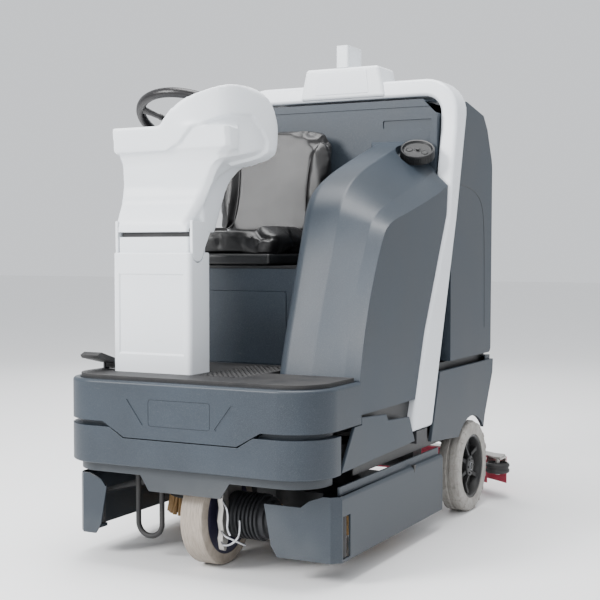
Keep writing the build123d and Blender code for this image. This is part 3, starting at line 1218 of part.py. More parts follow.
def skirt_solid(inner_x):
    """A gate-like side skirt: lower wall, inset upper wall, and a return that reaches in to inner_x."""
    wall = SKIRT_WALL
    low, ridge = SKIRT_BOTTOM_Z, SKIRT_RIDGE_Z
    front = SKIRT_FRONT_Y
    skirt = block(inner_x, SKIRT_X, front, SKIRT_REAR_Y, low, ridge)
    corner = vertical_edges(skirt).group_by(Axis.Y)[0].sort_by(Axis.X)[-1]
    skirt = chamfer(corner, SKIRT_CORNER)
    corner_outline = [
        (SKIRT_X - wall - SKIRT_CORNER, front), (SKIRT_X, front + SKIRT_CORNER + wall), (SKIRT_X, front),
    ]
    hollow = block(inner_x - 1, SKIRT_X - wall, front + wall, SKIRT_REAR_Y + 1, low - 1, ridge + 1)
    skirt -= hollow - plan_plate(corner_outline, low - 2, ridge + 2)
    foot_cut = [
        (inner_x - 1, low - 1), (inner_x + 42, low - 1), (inner_x + 22, low + 30),
        (inner_x, SKIRT_FRONT_Z), (inner_x - 1, SKIRT_FRONT_Z),
    ]
    skirt -= front_plate(foot_cut, front - 1, front + wall + 1)
    step_x = max(SKIRT_X - 116, inner_x + 4)
    top_cut = [
        (inner_x - 1, SKIRT_FRONT_Z), (step_x, SKIRT_FRONT_Z), (SKIRT_X - 90, SKIRT_FRONT_Z + 20),
        (SKIRT_X - 40, ridge + 2), (inner_x - 1, ridge + 2),
    ]
    skirt -= front_plate(top_cut, front - 1, front + SKIRT_CORNER + 1)
    skirt += block(SKIRT_X - 22, SKIRT_X - 1, front + 40, SKIRT_REAR_Y, ridge - wall, ridge)
    skirt += block(SKIRT_X - 22, SKIRT_X - 22 + wall, front + 40, SKIRT_REAR_Y, ridge - wall, SKIRT_TOP_Z)
    window_y0, window_y1 = SKIRT_FRONT_Y + 30, SKIRT_FRONT_Y + 78
    skirt -= block(SKIRT_X - 30, SKIRT_X + 1, window_y0, window_y1, WINDOW_LOW_Z, WINDOW_HIGH_Z)
    ear_low, ear_high = SKIRT_BOTTOM_Z + 16, SKIRT_FRONT_Z - 8
    for z0, z1 in ((ear_low, ear_low + 8), (ear_high - 8, ear_high)):
        ear = block(SKIRT_HINGE_X - 14, SKIRT_HINGE_X + 14, front + 1, SKIRT_HINGE_Y, z0, z1)
        ear += rod_z(SKIRT_HINGE_X, SKIRT_HINGE_Y, z0, z1, 14)
        skirt += ear - rod_z(SKIRT_HINGE_X, SKIRT_HINGE_Y, z0 - 1, z1 + 1, SKIRT_PIN_R + RUN)
    roller_x, roller_y = roller_place()
    for z in (WINDOW_LOW_Z - 6, WINDOW_HIGH_Z + 1):
        tab = block(SKIRT_X - 32, SKIRT_X - 1, window_y0 + 2, window_y1 - 2, z, z + 5)
        skirt += tab
    skirt += rod_z(roller_x, roller_y, WINDOW_LOW_Z - 4, WINDOW_HIGH_Z + 4, 4)
    return skirt


def make_skirts():
    """Both side skirts, each with a roller at its front corner; the right one's return is shorter."""
    add("skirt_left", skirt_solid(SKIRT_INNER_X))
    add("skirt_right", mirrored(skirt_solid(SKIRT_RIGHT_INNER_X)))
    x, y = roller_place()
    roller = rod_z(x, y, WINDOW_LOW_Z + 1, WINDOW_HIGH_Z - 1, CORNER_ROLLER_R - 4)
    roller -= rod_z(x, y, WINDOW_LOW_Z, WINDOW_HIGH_Z, 4 + RUN)
    add("skirt_roller_left", roller)
    add("skirt_roller_right", mirrored(roller))


# ---------------------------------------------------------------- squeegee
def bow_band(outer_gap, thick, z0, z1, half_chord):
    """A bowed band in plan: its outer face lies a gap inside the squeegee's rear edge."""
    radius = (SQUEEGEE_HALF_CHORD**2 + SQUEEGEE_SAG**2) / (2 * SQUEEGEE_SAG)
    centre_y = HALF_LENGTH - radius
    band = rod_z(0, centre_y, z0, z1, radius - outer_gap)
    band -= rod_z(0, centre_y, z0 - 1, z1 + 1, radius - outer_gap - thick)
    reach = radius + 10
    return band & block(-half_chord, half_chord, centre_y + radius * 0.2, centre_y + reach, z0, z1)


def make_squeegee():
    """Lift arms, bowed holder, two blades, end rollers, clamp knobs and the suction hose."""
    arms = None
    for side in (-1, 1):
        arm = link_arm((LIFT_Y, LIFT_Z), (LEVEL_Y, LEVEL_Z), side * ARM_X, 20, LIFT_PIN_R)
        arms = arm if arms is None else arms + arm
    arms += block(-ARM_X, ARM_X, 590, 602, 216, 234)
    add("squeegee_lift_arms", arms)

    half = SQUEEGEE_HALF_CHORD
    rear_gap = BLADE_THICK + 1
    top_thick = 6
    depth = SQUEEGEE_DEPTH
    holder = bow_band(
        rear_gap, depth - rear_gap - BLADE_THICK - 1, SQUEEGEE_TOP_Z - top_thick, SQUEEGEE_TOP_Z, half
    )
    holder += bow_band(rear_gap, 6, SQUEEGEE_LOW_Z, SQUEEGEE_TOP_Z - 1, half)
    inner_half = ROLLER_X - ROLLER_R - 2 * FREE
    holder += bow_band(depth - 6 - BLADE_THICK - 1, 6, SQUEEGEE_LOW_Z, SQUEEGEE_TOP_Z - 1, inner_half)
    for side in (-1, 1):
        x = side * (ARM_X - ARM_WIDTH)
        ear = [(LEVEL_Y - 16, LEVEL_Z + 16), (LEVEL_Y + 16, LEVEL_Z + 16),
            (LEVEL_Y + 90, SQUEEGEE_TOP_Z - 2),
               (LEVEL_Y + 74, SQUEEGEE_TOP_Z - 2), (LEVEL_Y - 16, LEVEL_Z - 16)]
        holder += side_plate(ear, x - 5, x + 5)
        bracket = plan_plate(
            [
                (side * (ROLLER_X - 44), ROLLER_Y + 74), (side * (ROLLER_X + 10), ROLLER_Y + 62),
                (side * (ROLLER_X + 14), ROLLER_Y - 12), (side * (ROLLER_X - 14), ROLLER_Y - 12),
            ],
            SQUEEGEE_TOP_Z - 1, SQUEEGEE_TOP_Z + 5,
        )
        holder += bracket
        holder += rod_z(side * ROLLER_X, ROLLER_Y, ROLLER_LOW_Z - 8, SQUEEGEE_TOP_Z, 8)
    holder += rod_x(-ARM_X - 12, ARM_X + 12, LEVEL_Y, LEVEL_Z, LIFT_PIN_R)
    port_y = HALF_LENGTH - depth / 2
    holder += rod_z(0, port_y, SQUEEGEE_TOP_Z - 1, SQUEEGEE_TOP_Z + 34, HOSE_R - HOSE_WALL - 0.5)
    holder -= rod_z(0, port_y, SQUEEGEE_TOP_Z - 20, SQUEEGEE_TOP_Z + 40, HOSE_R - HOSE_WALL - 4)
    add("squeegee_holder", holder)

    rear = bow_band(0, BLADE_THICK, BLADE_BOTTOM_Z, BLADE_TOP_Z, half)
    front = bow_band(depth - BLADE_THICK, BLADE_THICK, BLADE_BOTTOM_Z, BLADE_TOP_Z, inner_half)
    add("squeegee_blades", rear, front)

    for side, tag in ((1, "left"), (-1, "right")):
        x = side * ROLLER_X
        roller = rod_z(x, ROLLER_Y, ROLLER_LOW_Z, ROLLER_HIGH_Z, ROLLER_R)
        roller = fillet(roller.edges().filter_by(GeomType.CIRCLE), 6)
        roller -= rod_z(x, ROLLER_Y, ROLLER_LOW_Z - 1, ROLLER_HIGH_Z + 1, 8 + RUN)
        add(f"squeegee_roller_{tag}", roller)
    knobs = None
    for side in (-1, 1):
        x = side * 170
        radius = (SQUEEGEE_HALF_CHORD**2 + SQUEEGEE_SAG**2) / (2 * SQUEEGEE_SAG)
        middle = radius - depth / 2
        y = HALF_LENGTH - radius + math.sqrt(middle**2 - x**2)
        knob = rod_z(x, y, SQUEEGEE_TOP_Z, SQUEEGEE_TOP_Z + 26, 6) + rod_z(
            x, y, SQUEEGEE_TOP_Z + 14, SQUEEGEE_TOP_Z + 34, 20
        )
        knobs = knob if knobs is None else knobs + knob
    add("squeegee_knobs", knobs)

    route = [
        (0, port_y, SQUEEGEE_TOP_Z + 6), (0, port_y, 300), (0, 690, 400), (0, 560, 440), (0, 560, 544.5)
    ]
    path = FilletPolyline(*route, radius=[65, 62, 48])
    start = Plane(origin=route[0], z_dir=(0, 0, 1))
    hose = sweep(start * Circle(HOSE_R), path) - sweep(start * Circle(HOSE_R - HOSE_WALL), path)
    add("suction_hose", hose)


# ---------------------------------------------------------------- works under the covers
def make_works():
    """Suction motor, and the cable loop that hangs from the frame beside the drive wheel."""
    turbine = rod_z(230, 500, RAIL_TOP_Z + 4, 516, 70)
    turbine += rod_z(230, 500, 515, 530, 50)
    add("suction_motor", turbine)

    loop_top = STEER_PLATE_Z - 0.3
    right, left = LOOP_X - LOOP_HALF_WIDTH, LOOP_X + LOOP_HALF_WIDTH
    route = [
        (right, LOOP_Y, loop_top), (right, LOOP_Y, LOOP_LOW_Z),
        (left, LOOP_Y, LOOP_LOW_Z), (left, LOOP_Y, loop_top),
    ]
    path = FilletPolyline(*route, radius=0.98 * LOOP_HALF_WIDTH)
    add("cable_loop", sweep(Plane(origin=route[0], z_dir=(0, 0, -1)) * Circle(LOOP_R), path))


def export_all():
    """Build every sub-part and write one file for each."""
    make_bumper()
    make_platform()
    make_pedal()
    make_column()
    make_console()
    make_steering_wheel()
    make_drive_unit()
    make_chassis()
    make_rear_wheels()
    make_solution_tank()
    make_recovery_tank()
    make_battery_compartment()
    make_seat()
    make_hoop()
    make_side_covers()
    make_deck()
    make_skirts()
    make_squeegee()
    make_works()
    os.makedirs("parts", exist_ok=True)
    for name, solid in parts.items():
        export_step(solid, f"parts/{name}.step")
        print(name, len(solid.solids()), round(solid.volume))


export_all()
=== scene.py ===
import json
import logging
import math
import random
from dataclasses import dataclass, field
from enum import Enum
from typing import Callable, Iterable, Optional, Sequence, Union

import bmesh
import bpy
from mathutils import Matrix, Vector


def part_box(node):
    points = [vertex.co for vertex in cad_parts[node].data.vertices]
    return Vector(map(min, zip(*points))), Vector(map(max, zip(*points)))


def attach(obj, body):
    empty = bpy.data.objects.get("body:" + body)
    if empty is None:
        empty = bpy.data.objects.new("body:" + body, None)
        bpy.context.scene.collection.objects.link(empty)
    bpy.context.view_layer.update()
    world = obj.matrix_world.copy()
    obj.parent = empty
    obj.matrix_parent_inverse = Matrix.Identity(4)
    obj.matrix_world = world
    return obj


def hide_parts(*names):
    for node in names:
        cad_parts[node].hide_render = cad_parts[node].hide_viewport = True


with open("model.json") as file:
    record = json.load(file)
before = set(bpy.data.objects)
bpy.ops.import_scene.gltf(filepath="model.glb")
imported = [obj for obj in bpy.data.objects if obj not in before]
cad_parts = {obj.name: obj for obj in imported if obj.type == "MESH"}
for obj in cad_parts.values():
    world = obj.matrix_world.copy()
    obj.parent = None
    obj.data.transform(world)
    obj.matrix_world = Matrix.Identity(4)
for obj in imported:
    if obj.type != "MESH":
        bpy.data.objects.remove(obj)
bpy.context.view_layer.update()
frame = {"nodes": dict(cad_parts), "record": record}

# A ride-on floor scrubber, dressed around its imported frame. Forms are in millimetres and finished in metres.
# +Z is up, the machine drives towards -Y, and +X is the driver's left.

RECORD = frame["record"]
BODY_OF = {node: body for body, members in RECORD["behaviour"]["bodies"].items() for node in members}
MM = 0.001
ROUND = 2 * math.pi
Colour = tuple[float, float, float, float]
Point = tuple[float, float]
log = logging.getLogger("scrubber")


def srgb(red: int, green: int, blue: int) -> Colour:
    """Turn screen values from 0 to 255 into a linear colour.

    Args:
        red: The red value.
        green: The green value.
        blue: The blue value.

    Returns:
        The colour with full alpha.
    """
    def linear(value: int) -> float:
        """One channel, made linear."""
        share = value / 255
        return share / 12.92 if share <= 0.04045 else ((share + 0.055) / 1.055) ** 2.4
    return linear(red), linear(green), linear(blue), 1.0


def node_box(node: str) -> tuple[Vector, Vector]:
    """A frame node's lowest and highest corners, in millimetres."""
    low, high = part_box(node)
    return low / MM, high / MM


# ---------------------------------------------------------------- shader sums
class Value:
    """A shader socket that takes part in Python sums."""

    def __init__(self, shader: "Shader", socket: bpy.types.NodeSocket) -> None:
        """Wrap one output socket of a shader."""
        self.shader = shader
        self.socket = socket

    def _math(self, operation: str, first: object, second: object) -> "Value":
        """One Math node on two values."""
        return self.shader.node("ShaderNodeMath", {"operation": operation}, {0: first, 1: second})

    def __add__(self, other: object) -> "Value":
        """This value plus another."""
        return self._math("ADD", self, other)

    __radd__ = __add__

    def __sub__(self, other: object) -> "Value":
        """This value less another."""
        return self._math("SUBTRACT", self, other)

    def __rsub__(self, other: object) -> "Value":
        """Another value less this one."""
        return self._math("SUBTRACT", other, self)

    def __mul__(self, other: object) -> "Value":
        """This value times another."""
        return self._math("MULTIPLY", self, other)

    __rmul__ = __mul__

    def between(self, low: float, high: float) -> "Value":
        """A smooth step from 0 at low to 1 at high.

        Args:
            low: Where the step starts.
            high: Where the step ends.

        Returns:
            The stepped value.
        """
        settings = {"interpolation_type": "SMOOTHSTEP"}
        return self.shader.node("ShaderNodeMapRange", settings, {0: self, 1: low, 2: high})


class Shader:
    """One material while its nodes are being laid."""

    def __init__(self, name: str) -> None:
        """Start a material with an empty surface shader."""
        self.material = bpy.data.materials.new(name)
        self.material.use_nodes = True
        self.tree = self.material.node_tree
        self.tree.nodes.clear()
        self.surface = self.tree.nodes.new("ShaderNodeBsdfPrincipled")
        output = self.tree.nodes.new("ShaderNodeOutputMaterial")
        self.tree.links.new(self.surface.outputs[0], output.inputs[0])

    def node(self, kind: str, settings: dict, inputs: dict, output: Union[int, str] = 0) -> Value:
        """Lay one node.

        Args:
            kind: The node's type.
            settings: Its settings, set before its sockets.
            inputs: Values or links of its input sockets.
            output: The output socket to hand back.

        Returns:
            The chosen output, ready for sums.
        """
        made = self.tree.nodes.new(kind)
        for key, value in settings.items():
            setattr(made, key, value)
        for key, value in inputs.items():
            self.feed(made.inputs[key], value)
        return Value(self, made.outputs[output])

    def feed(self, socket: bpy.types.NodeSocket, value: object) -> None:
        """Link or set one input socket."""
        if isinstance(value, Value):
            self.tree.links.new(value.socket, socket)
        else:
            socket.default_value = value

    def place(self, stretch: tuple[float, float, float] = (1, 1, 1)) -> Value:
        """Object coordinates, stretched along each axis."""
        coords = self.node("ShaderNodeTexCoord", {}, {}, "Object")
        return self.node("ShaderNodeMapping", {}, {"Vector": coords, "Scale": stretch})

    def noise(self, place: Value, scale: float, detail: float = 2.0, rough: float = 0.5) -> Value:
        """Soft noise from 0 to 1."""
        inputs = {"Vector": place, "Scale": scale, "Detail": detail, "Roughness": rough}
        return self.node("ShaderNodeTexNoise", {}, inputs)

    def mix(self, share: object, first: object, second: object) -> Value:
        """Blend two colours; a share of 1 gives the second."""
        return self.node("ShaderNodeMix", {"data_type": "RGBA"}, {0: share, 6: first, 7: second}, 2)

    def height(self) -> Value:
        """How far a point is above the floor, in metres."""
        coords = self.node("ShaderNodeTexCoord", {}, {}, "Object")
        return self.node("ShaderNodeSeparateXYZ", {}, {0: coords}, 2)

    def relief(self, height: Value, strength: float, distance: float) -> Value:
        """A bump from a height pattern."""
        return self.node(
            "ShaderNodeBump", {}, {"Height": height, "Strength": strength, "Distance": distance}
        )

    def finish(self, **inputs: object) -> bpy.types.Material:
        """Set the surface's sockets and hand the material over.

        Args:
            inputs: Socket names with underscores for spaces, and their values.

        Returns:
            The finished material.
        """
        for key, value in inputs.items():
            self.feed(self.surface.inputs[key.replace("_", " ")], value)
        return self.material


# ---------------------------------------------------------------- finishes
DUST = srgb(150, 146, 138)


@dataclass(frozen=True)
class Plastic:
    """Moulded plastic: a fine pressed grain, tone that wanders slightly, scuffs and floor dust."""

    name: str
    colour: Colour
    rough: float = 0.5
    grain_mm: float = 1.1
    grain_depth: float = 0.25
    speckle: float = 0.10
    wander: float = 0.12
    dust: float = 0.10

    def material(self) -> bpy.types.Material:
        """Lay the finish's nodes."""
        shader = Shader(self.name)
        place = shader.place()
        broad = shader.noise(place, 4.0, 3.0)
        grain = shader.noise(place, 1 / (self.grain_mm * MM), 2.0)
        scuff = shader.noise(shader.place((9, 70, 34)), 1.6, 4.0, 0.62).between(0.66, 0.74)
        low = 1 - shader.height().between(0.04, 0.42)
        dusty = low * broad.between(0.35, 0.7) * self.dust
        dark = tuple(channel * (1 - 2 * self.wander) for channel in self.colour[:3]) + (1.0,)
        pale = tuple(channel + (1 - channel) * 0.22 for channel in self.colour[:3]) + (1.0,)
        toned = shader.mix(broad.between(0.3, 0.7), dark, self.colour)
        speckled = shader.mix(grain.between(0.5, 0.75) * self.speckle, toned, pale)
        colour = shader.mix(dusty + scuff * 0.05, speckled, DUST)
        return shader.finish(
            Base_Color=colour,
            Roughness=self.rough + (broad - 0.5) * 0.16 + scuff * 0.12 + dusty,
            Specular_IOR_Level=0.4,
            Normal=shader.relief(grain, self.grain_depth, 0.0004),
        )


@dataclass(frozen=True)
class Metal:
    """Bare, cast or painted metal."""

    name: str
    colour: Colour
    metallic: float = 1.0
    rough: float = 0.35
    cast: float = 0.2
    brushed: tuple[float, float, float] = (1, 1, 1)

    def material(self) -> bpy.types.Material:
        """Lay the finish's nodes."""
        shader = Shader(self.name)
        grain = shader.noise(shader.place(self.brushed), 260.0, 3.0, 0.6)
        broad = shader.noise(shader.place(), 14.0, 3.0, 0.6)
        grime = broad.between(0.52, 0.8)
        dull = tuple(channel * 0.55 for channel in self.colour[:3]) + (1.0,)
        return shader.finish(
            Base_Color=shader.mix(grime, self.colour, dull),
            Metallic=self.metallic,
            Roughness=self.rough + grain * 0.16 + grime * 0.2,
            Normal=shader.relief(grain, self.cast, 0.0005),
        )


@dataclass(frozen=True)
class Rubber:
    """Moulded rubber or polyurethane, streaked along one direction by wear."""

    name: str
    colour: Colour
    worn: Colour
    streaks: tuple[float, float, float] = (1, 1, 1)
    rough: float = 0.62
    wear: float = 0.5

    def material(self) -> bpy.types.Material:
        """Lay the finish's nodes."""
        shader = Shader(self.name)
        streak = shader.noise(shader.place(self.streaks), 12.0, 5.0, 0.66)
        fine = shader.noise(shader.place(), 520.0, 2.0)
        patch = shader.noise(shader.place(), 22.0, 4.0, 0.6).between(0.4, 0.72)
        worn = shader.mix(streak.between(0.32, 0.72) * self.wear, self.colour, self.worn)
        darker = tuple(channel * 0.72 for channel in self.colour[:3]) + (1.0,)
        return shader.finish(
            Base_Color=shader.mix(patch * 0.4, worn, darker),
            Roughness=self.rough + (streak - 0.5) * 0.24,
            Normal=shader.relief(fine + streak * 0.6, 0.3, 0.0005),
        )


@dataclass(frozen=True)
class Vinyl:
    """Glossy seat vinyl with a leather grain and slightly polished high spots."""

    name: str
    colour: Colour
    rough: float = 0.30

    def material(self) -> bpy.types.Material:
        """Lay the finish's nodes."""
        shader = Shader(self.name)
        place = shader.place()
        cells = shader.node(
            "ShaderNodeTexVoronoi", {"feature": "DISTANCE_TO_EDGE"}, {"Vector": place, "Scale": 420.0}
        )
        folds = shader.noise(place, 26.0, 4.0, 0.6)
        broad = shader.noise(place, 7.0, 2.0)
        soft = tuple(channel + 0.012 for channel in self.colour[:3]) + (1.0,)
        return shader.finish(
            Base_Color=shader.mix(broad.between(0.4, 0.7), self.colour, soft),
            Roughness=self.rough + (broad - 0.5) * 0.16 + folds * 0.06,
            Specular_IOR_Level=0.42,
            Normal=shader.relief(cells.between(0.0, 0.12) + folds * 0.9, 0.22, 0.0006),
        )


@dataclass(frozen=True)
class Glass:
    """A dark display window over a faint lit panel."""

    name: str

    def material(self) -> bpy.types.Material:
        """Lay the finish's nodes."""
        shader = Shader(self.name)
        bars = shader.noise(shader.place((60, 14, 14)), 1.4, 1.0).between(0.5, 0.56)
        return shader.finish(
            Base_Color=shader.mix(bars * 0.5, srgb(14, 18, 24), srgb(60, 92, 116)),
            Roughness=0.12 + bars * 0.1,
            Coat_Weight=0.6,
            Coat_Roughness=0.05,
        )


Finish = Union[Plastic, Metal, Rubber, Vinyl, Glass]
BODY = Plastic("body_moulding", srgb(40, 50, 60), 0.46, speckle=0.2)
LIP = Plastic("lip_moulding", srgb(48, 54, 60), 0.5, dust=0.2)
WHITE = Plastic("white_moulding", srgb(226, 230, 234), 0.36, 0.8, 0.06, 0.0, 0.012, 0.05)
HOOP_WHITE = Plastic("white_enamel", srgb(222, 226, 231), 0.30, 2.2, 0.05, 0.0, 0.015, 0.06)
BLACK = Plastic("black_moulding", srgb(14, 15, 17), 0.42, 0.9, 0.25, 0.12)
GRIP = Plastic("grip_moulding", srgb(20, 18, 20), 0.34, 0.7, 0.35, 0.1, 0.1, 0.0)
BUTTON = Plastic("button_moulding", srgb(62, 70, 78), 0.3, 0.8, 0.05, 0.0)
RED_CAP = Plastic("red_moulding", srgb(196, 36, 30), 0.28, 0.8, 0.04, 0.0)
CASE = Plastic("battery_moulding", srgb(48, 50, 54), 0.5)
STEEL = Metal("black_enamel", srgb(34, 35, 38), 0.0, 0.42, 0.25)
MOTOR = Metal("satin_black_casting", srgb(40, 41, 44), 0.4, 0.40, 0.5)
BRIGHT = Metal("turned_steel", srgb(186, 188, 192), 1.0, 0.26, 0.1, (1, 5, 5))
CAST = Metal("aluminium_casting", srgb(176, 174, 170), 1.0, 0.36, 0.6)
RUBBER = Rubber("black_rubber", srgb(24, 24, 26), srgb(70, 68, 66), wear=0.35)
TREAD = Rubber("drive_tread", srgb(158, 148, 136), srgb(120, 110, 100), (26, 2.2, 2.2), 0.55, 0.8)
TYRE = Rubber("grey_tyre", srgb(158, 155, 150), srgb(118, 113, 106), (10, 3, 3), 0.6, 0.7)
HUB_SIDE = Rubber("navy_polyurethane", srgb(44, 42, 66), srgb(30, 28, 40), rough=0.5)
BLADE = Rubber("red_rubber", srgb(196, 56, 84), srgb(150, 40, 58), (4, 4, 30), 0.44, 0.45)
BRISTLE = Rubber("tan_bristles", srgb(176, 138, 84), srgb(120, 92, 56), (60, 60, 4), 0.55, 0.8)
HOSE = Rubber("hose_rubber", srgb(46, 47, 50), srgb(80, 78, 76), wear=0.3)
VINYL = Vinyl("seat_vinyl", srgb(8, 7, 8))
SCREEN = Glass("display_window")
MADE: dict[str, bpy.types.Material] = {}
FLOOR = (0.9, 0.9, 0.9, 1.0)
SKY = (0.94, 0.965, 1.0, 1.0)


def coat(finish: Finish) -> bpy.types.Material:
    """The finish's material, laid once."""
    if finish.name not in MADE:
        MADE[finish.name] = finish.material()
    return MADE[finish.name]


# ---------------------------------------------------------------- forms
class Axis(Enum):
    """The direction in which a flat outline is pushed."""

    X = 0
    Y = 1
    Z = 2


def seat_point(axis: Axis, u: float, v: float, w: float) -> Vector:
    """A point whose outline is (u, v) and whose place along the axis is w."""
    return Vector({Axis.X: (w, u, v), Axis.Y: (u, w, v), Axis.Z: (u, v, w)}[axis])


def flowing(line: Sequence[Point], rounds: int = 2, closed: bool = True) -> list[Point]:
    """Cut a line's corners again and again until it flows.

    Args:
        line: The line's corners.
        rounds: How often they are cut.
        closed: True for a loop; False keeps both ends.

    Returns:
        The flowing line.
    """
    line = list(line)
    for _ in range(rounds):
        cut = []
        for a, b in zip(line, line[1:] + line[:1] if closed else line[1:]):
            cut += [(a[0] * 0.75 + b[0] * 0.25, a[1] * 0.75 + b[1] * 0.25),
                    (a[0] * 0.25 + b[0] * 0.75, a[1] * 0.25 + b[1] * 0.75)]
        line = cut if closed else [line[0], *cut, line[-1]]
    return line


def along(line: Sequence[Point], at: float) -> float:
    """The second value of a line of pairs, where its first value is at."""
    for (u0, v0), (u1, v1) in zip(line, line[1:]):
        if at <= u1 and u1 > u0:
            return v0 + (v1 - v0) * (at - u0) / (u1 - u0)
    return line[-1][1]


def turned_to(direction: Sequence[float], origin: Sequence[float]) -> Matrix:
    """A place whose local Z points along a direction."""
    return Matrix.Translation(origin) @ Vector(direction).to_track_quat("Z", "Y").to_matrix().to_4x4()


def everywhere(_: bmesh.types.BMEdge) -> bool:
    """Every edge counts."""
    return True


class Form:
    """A shape in millimetres, made with mesh operators and finished as one piece."""

    def __init__(self, node: Optional[str] = None, mesh: Optional[bpy.types.Mesh] = None) -> None:
        """Start empty, or from a merged copy of a frame node or of another mesh."""
        self.mesh = bmesh.new()
        if node or mesh:
            self.mesh.from_mesh(mesh or frame["nodes"][node].data)
            bmesh.ops.scale(self.mesh, vec=(1 / MM, 1 / MM, 1 / MM), verts=self.mesh.verts)
            bmesh.ops.remove_doubles(self.mesh, verts=self.mesh.verts, dist=0.01)
            bmesh.ops.dissolve_limit(
                self.mesh, angle_limit=math.radians(0.6), verts=self.mesh.verts, edges=self.mesh.edges)

    def slab(self, outline: Sequence[Point], axis: Axis, start: float,
        end: float) -> list[bmesh.types.BMVert]:
        """Push a flat outline along an axis.

        Args:
            outline: The outline's corners.
            axis: The direction of the push.
            start: Where the slab starts.
            end: Where the slab ends.

        Returns:
            The slab's corners.
        """
        corners = [self.mesh.verts.new(seat_point(axis, u, v, start)) for u, v in outline]
        face = self.mesh.faces.new(corners)
        pushed = bmesh.ops.extrude_face_region(self.mesh, geom=[face])["geom"]
        moved = [item for item in pushed if isinstance(item, bmesh.types.BMVert)]
        bmesh.ops.translate(self.mesh, verts=moved, vec=seat_point(axis, 0, 0, end - start))
        return corners + moved

    def block(self, low: Sequence[float], high: Sequence[float]) -> list[bmesh.types.BMVert]:
        """A box between two corners."""
        low, high = Vector(low), Vector(high)
        place = Matrix.Translation((low + high) / 2) @ Matrix.Diagonal((*(high - low), 1.0))
        return bmesh.ops.create_cube(self.mesh, size=1.0, matrix=place)["verts"]

    def drum(self, place: Matrix, radius: float, depth: float, steps: int = 32,
        top: Optional[float] = None) -> None:
        """A round bar or cone along the place's Z, from its origin."""
        bmesh.ops.create_cone(
            self.mesh, cap_ends=True, segments=steps, radius1=radius,
                radius2=radius if top is None else top,
            depth=depth, matrix=place @ Matrix.Translation((0, 0, depth / 2)))

    def sweep(self, rings: Sequence[Sequence[Sequence[float]]], closed: bool = False) -> None:
        """Join rings of equal count into a skin.

        Args:
            rings: The rings, each a loop of points.
            closed: True joins the last ring to the first; False caps both ends.
        """
        front = [self.mesh.verts.new(point) for point in rings[0]]
        first = front
        count = len(front)
        edges = [self.mesh.edges.new((front[i], front[(i + 1) % count])) for i in range(count)]
        if not closed:
            self.mesh.faces.new(front)
        for ring in rings[1:]:
            made = bmesh.ops.extrude_edge_only(self.mesh, edges=edges)["geom"]
            new = {item for item in made if isinstance(item, bmesh.types.BMVert)}
            following = []
            for corner, point in zip(front, ring):
                other = next(
                    e.other_vert(corner) for e in corner.link_edges if e.other_vert(corner) in new
                )
                other.co = point
                following.append(other)
            edges = [
                item for item in made
                if isinstance(item,
                    bmesh.types.BMEdge) and item.verts[0] in new and item.verts[1] in new]
            front = following
        if closed:
            start = [self.mesh.edges.get((first[i], first[(i + 1) % count])) for i in range(count)]
            bmesh.ops.bridge_loops(self.mesh, edges=start + edges)
        else:
            self.mesh.faces.new(front)

    def turn(self, profile: Sequence[Point], place: Matrix, steps: int = 64,
        closed: bool = True) -> None:
        """Spin a (radius, height) profile about the place's Z.

        Args:
            profile: The profile's points.
            place: Where the axis lies.
            steps: How many steps make the full turn.
            closed: True when the profile is a closed loop.
        """
        before = set(self.mesh.verts)
        points = [self.mesh.verts.new((radius, 0, height)) for radius, height in profile]
        pairs = list(zip(points, points[1:])) + ([(points[-1], points[0])] if closed else [])
        edges = [self.mesh.edges.new(pair) for pair in pairs]
        bmesh.ops.spin(
            self.mesh, geom=points + edges, cent=(0, 0, 0), axis=(0, 0, 1), angle=ROUND,
            steps=steps, use_merge=True)
        made = [v for v in self.mesh.verts if v not in before]
        bmesh.ops.remove_doubles(self.mesh, verts=made, dist=0.001)
        made = [v for v in self.mesh.verts if v not in before]
        bmesh.ops.transform(self.mesh, matrix=place, verts=made)

    def soften(
        self, width: float, segments: int = 2, angle: float = 30.0,
        where: Callable[[bmesh.types.BMEdge], bool] = everywhere,
    ) -> None:
        """Bevel the sharp edges that a test picks.

        Args:
            width: The bevel's width.
            segments: How many steps round it.
            angle: The least angle between the faces, in degrees.
            where: The test on an edge.
        """
        self.mesh.normal_update()
        edges = [
            e for e in self.mesh.edges
            if len(e.link_faces) == 2 and e.calc_face_angle(0.0) > math.radians(angle) and where(e)]
        if edges:
            bmesh.ops.bevel(
                self.mesh, geom=edges, offset=width, segments=segments, profile=0.5, affect="EDGES",
                clamp_overlap=True, material=-1)

    def raw(self, name: str, outwards: bool = True) -> bpy.types.Object:
        """Hand the shape over as an object in metres, with no finish."""
        if outwards:
            bmesh.ops.recalc_face_normals(self.mesh, faces=self.mesh.faces)
        bmesh.ops.scale(self.mesh, vec=(MM, MM, MM), verts=self.mesh.verts)
        data = bpy.data.meshes.new(name)
        self.mesh.to_mesh(data)
        self.mesh.free()
        piece = bpy.data.objects.new(name, data)
        bpy.context.scene.collection.objects.link(piece)
        return piece

    def finish(
        self, name: str, like: str, finish: Finish, replaces: bool = True, smooth: float = 34.0,
        outwards: bool = True,
    ) -> bpy.types.Object:
        """Finish the shape as one piece.

        Args:
            name: The piece's name.
            like: The frame node whose body it takes.
            finish: Its finish.
            replaces: True when it stands for that node.
            smooth: Faces that meet at less than this many degrees are shaded as one.
            outwards: True when normals are worked out afresh.

        Returns:
            The finished piece.
        """
        return settle(self.raw(name, outwards), like, finish, replaces, smooth)


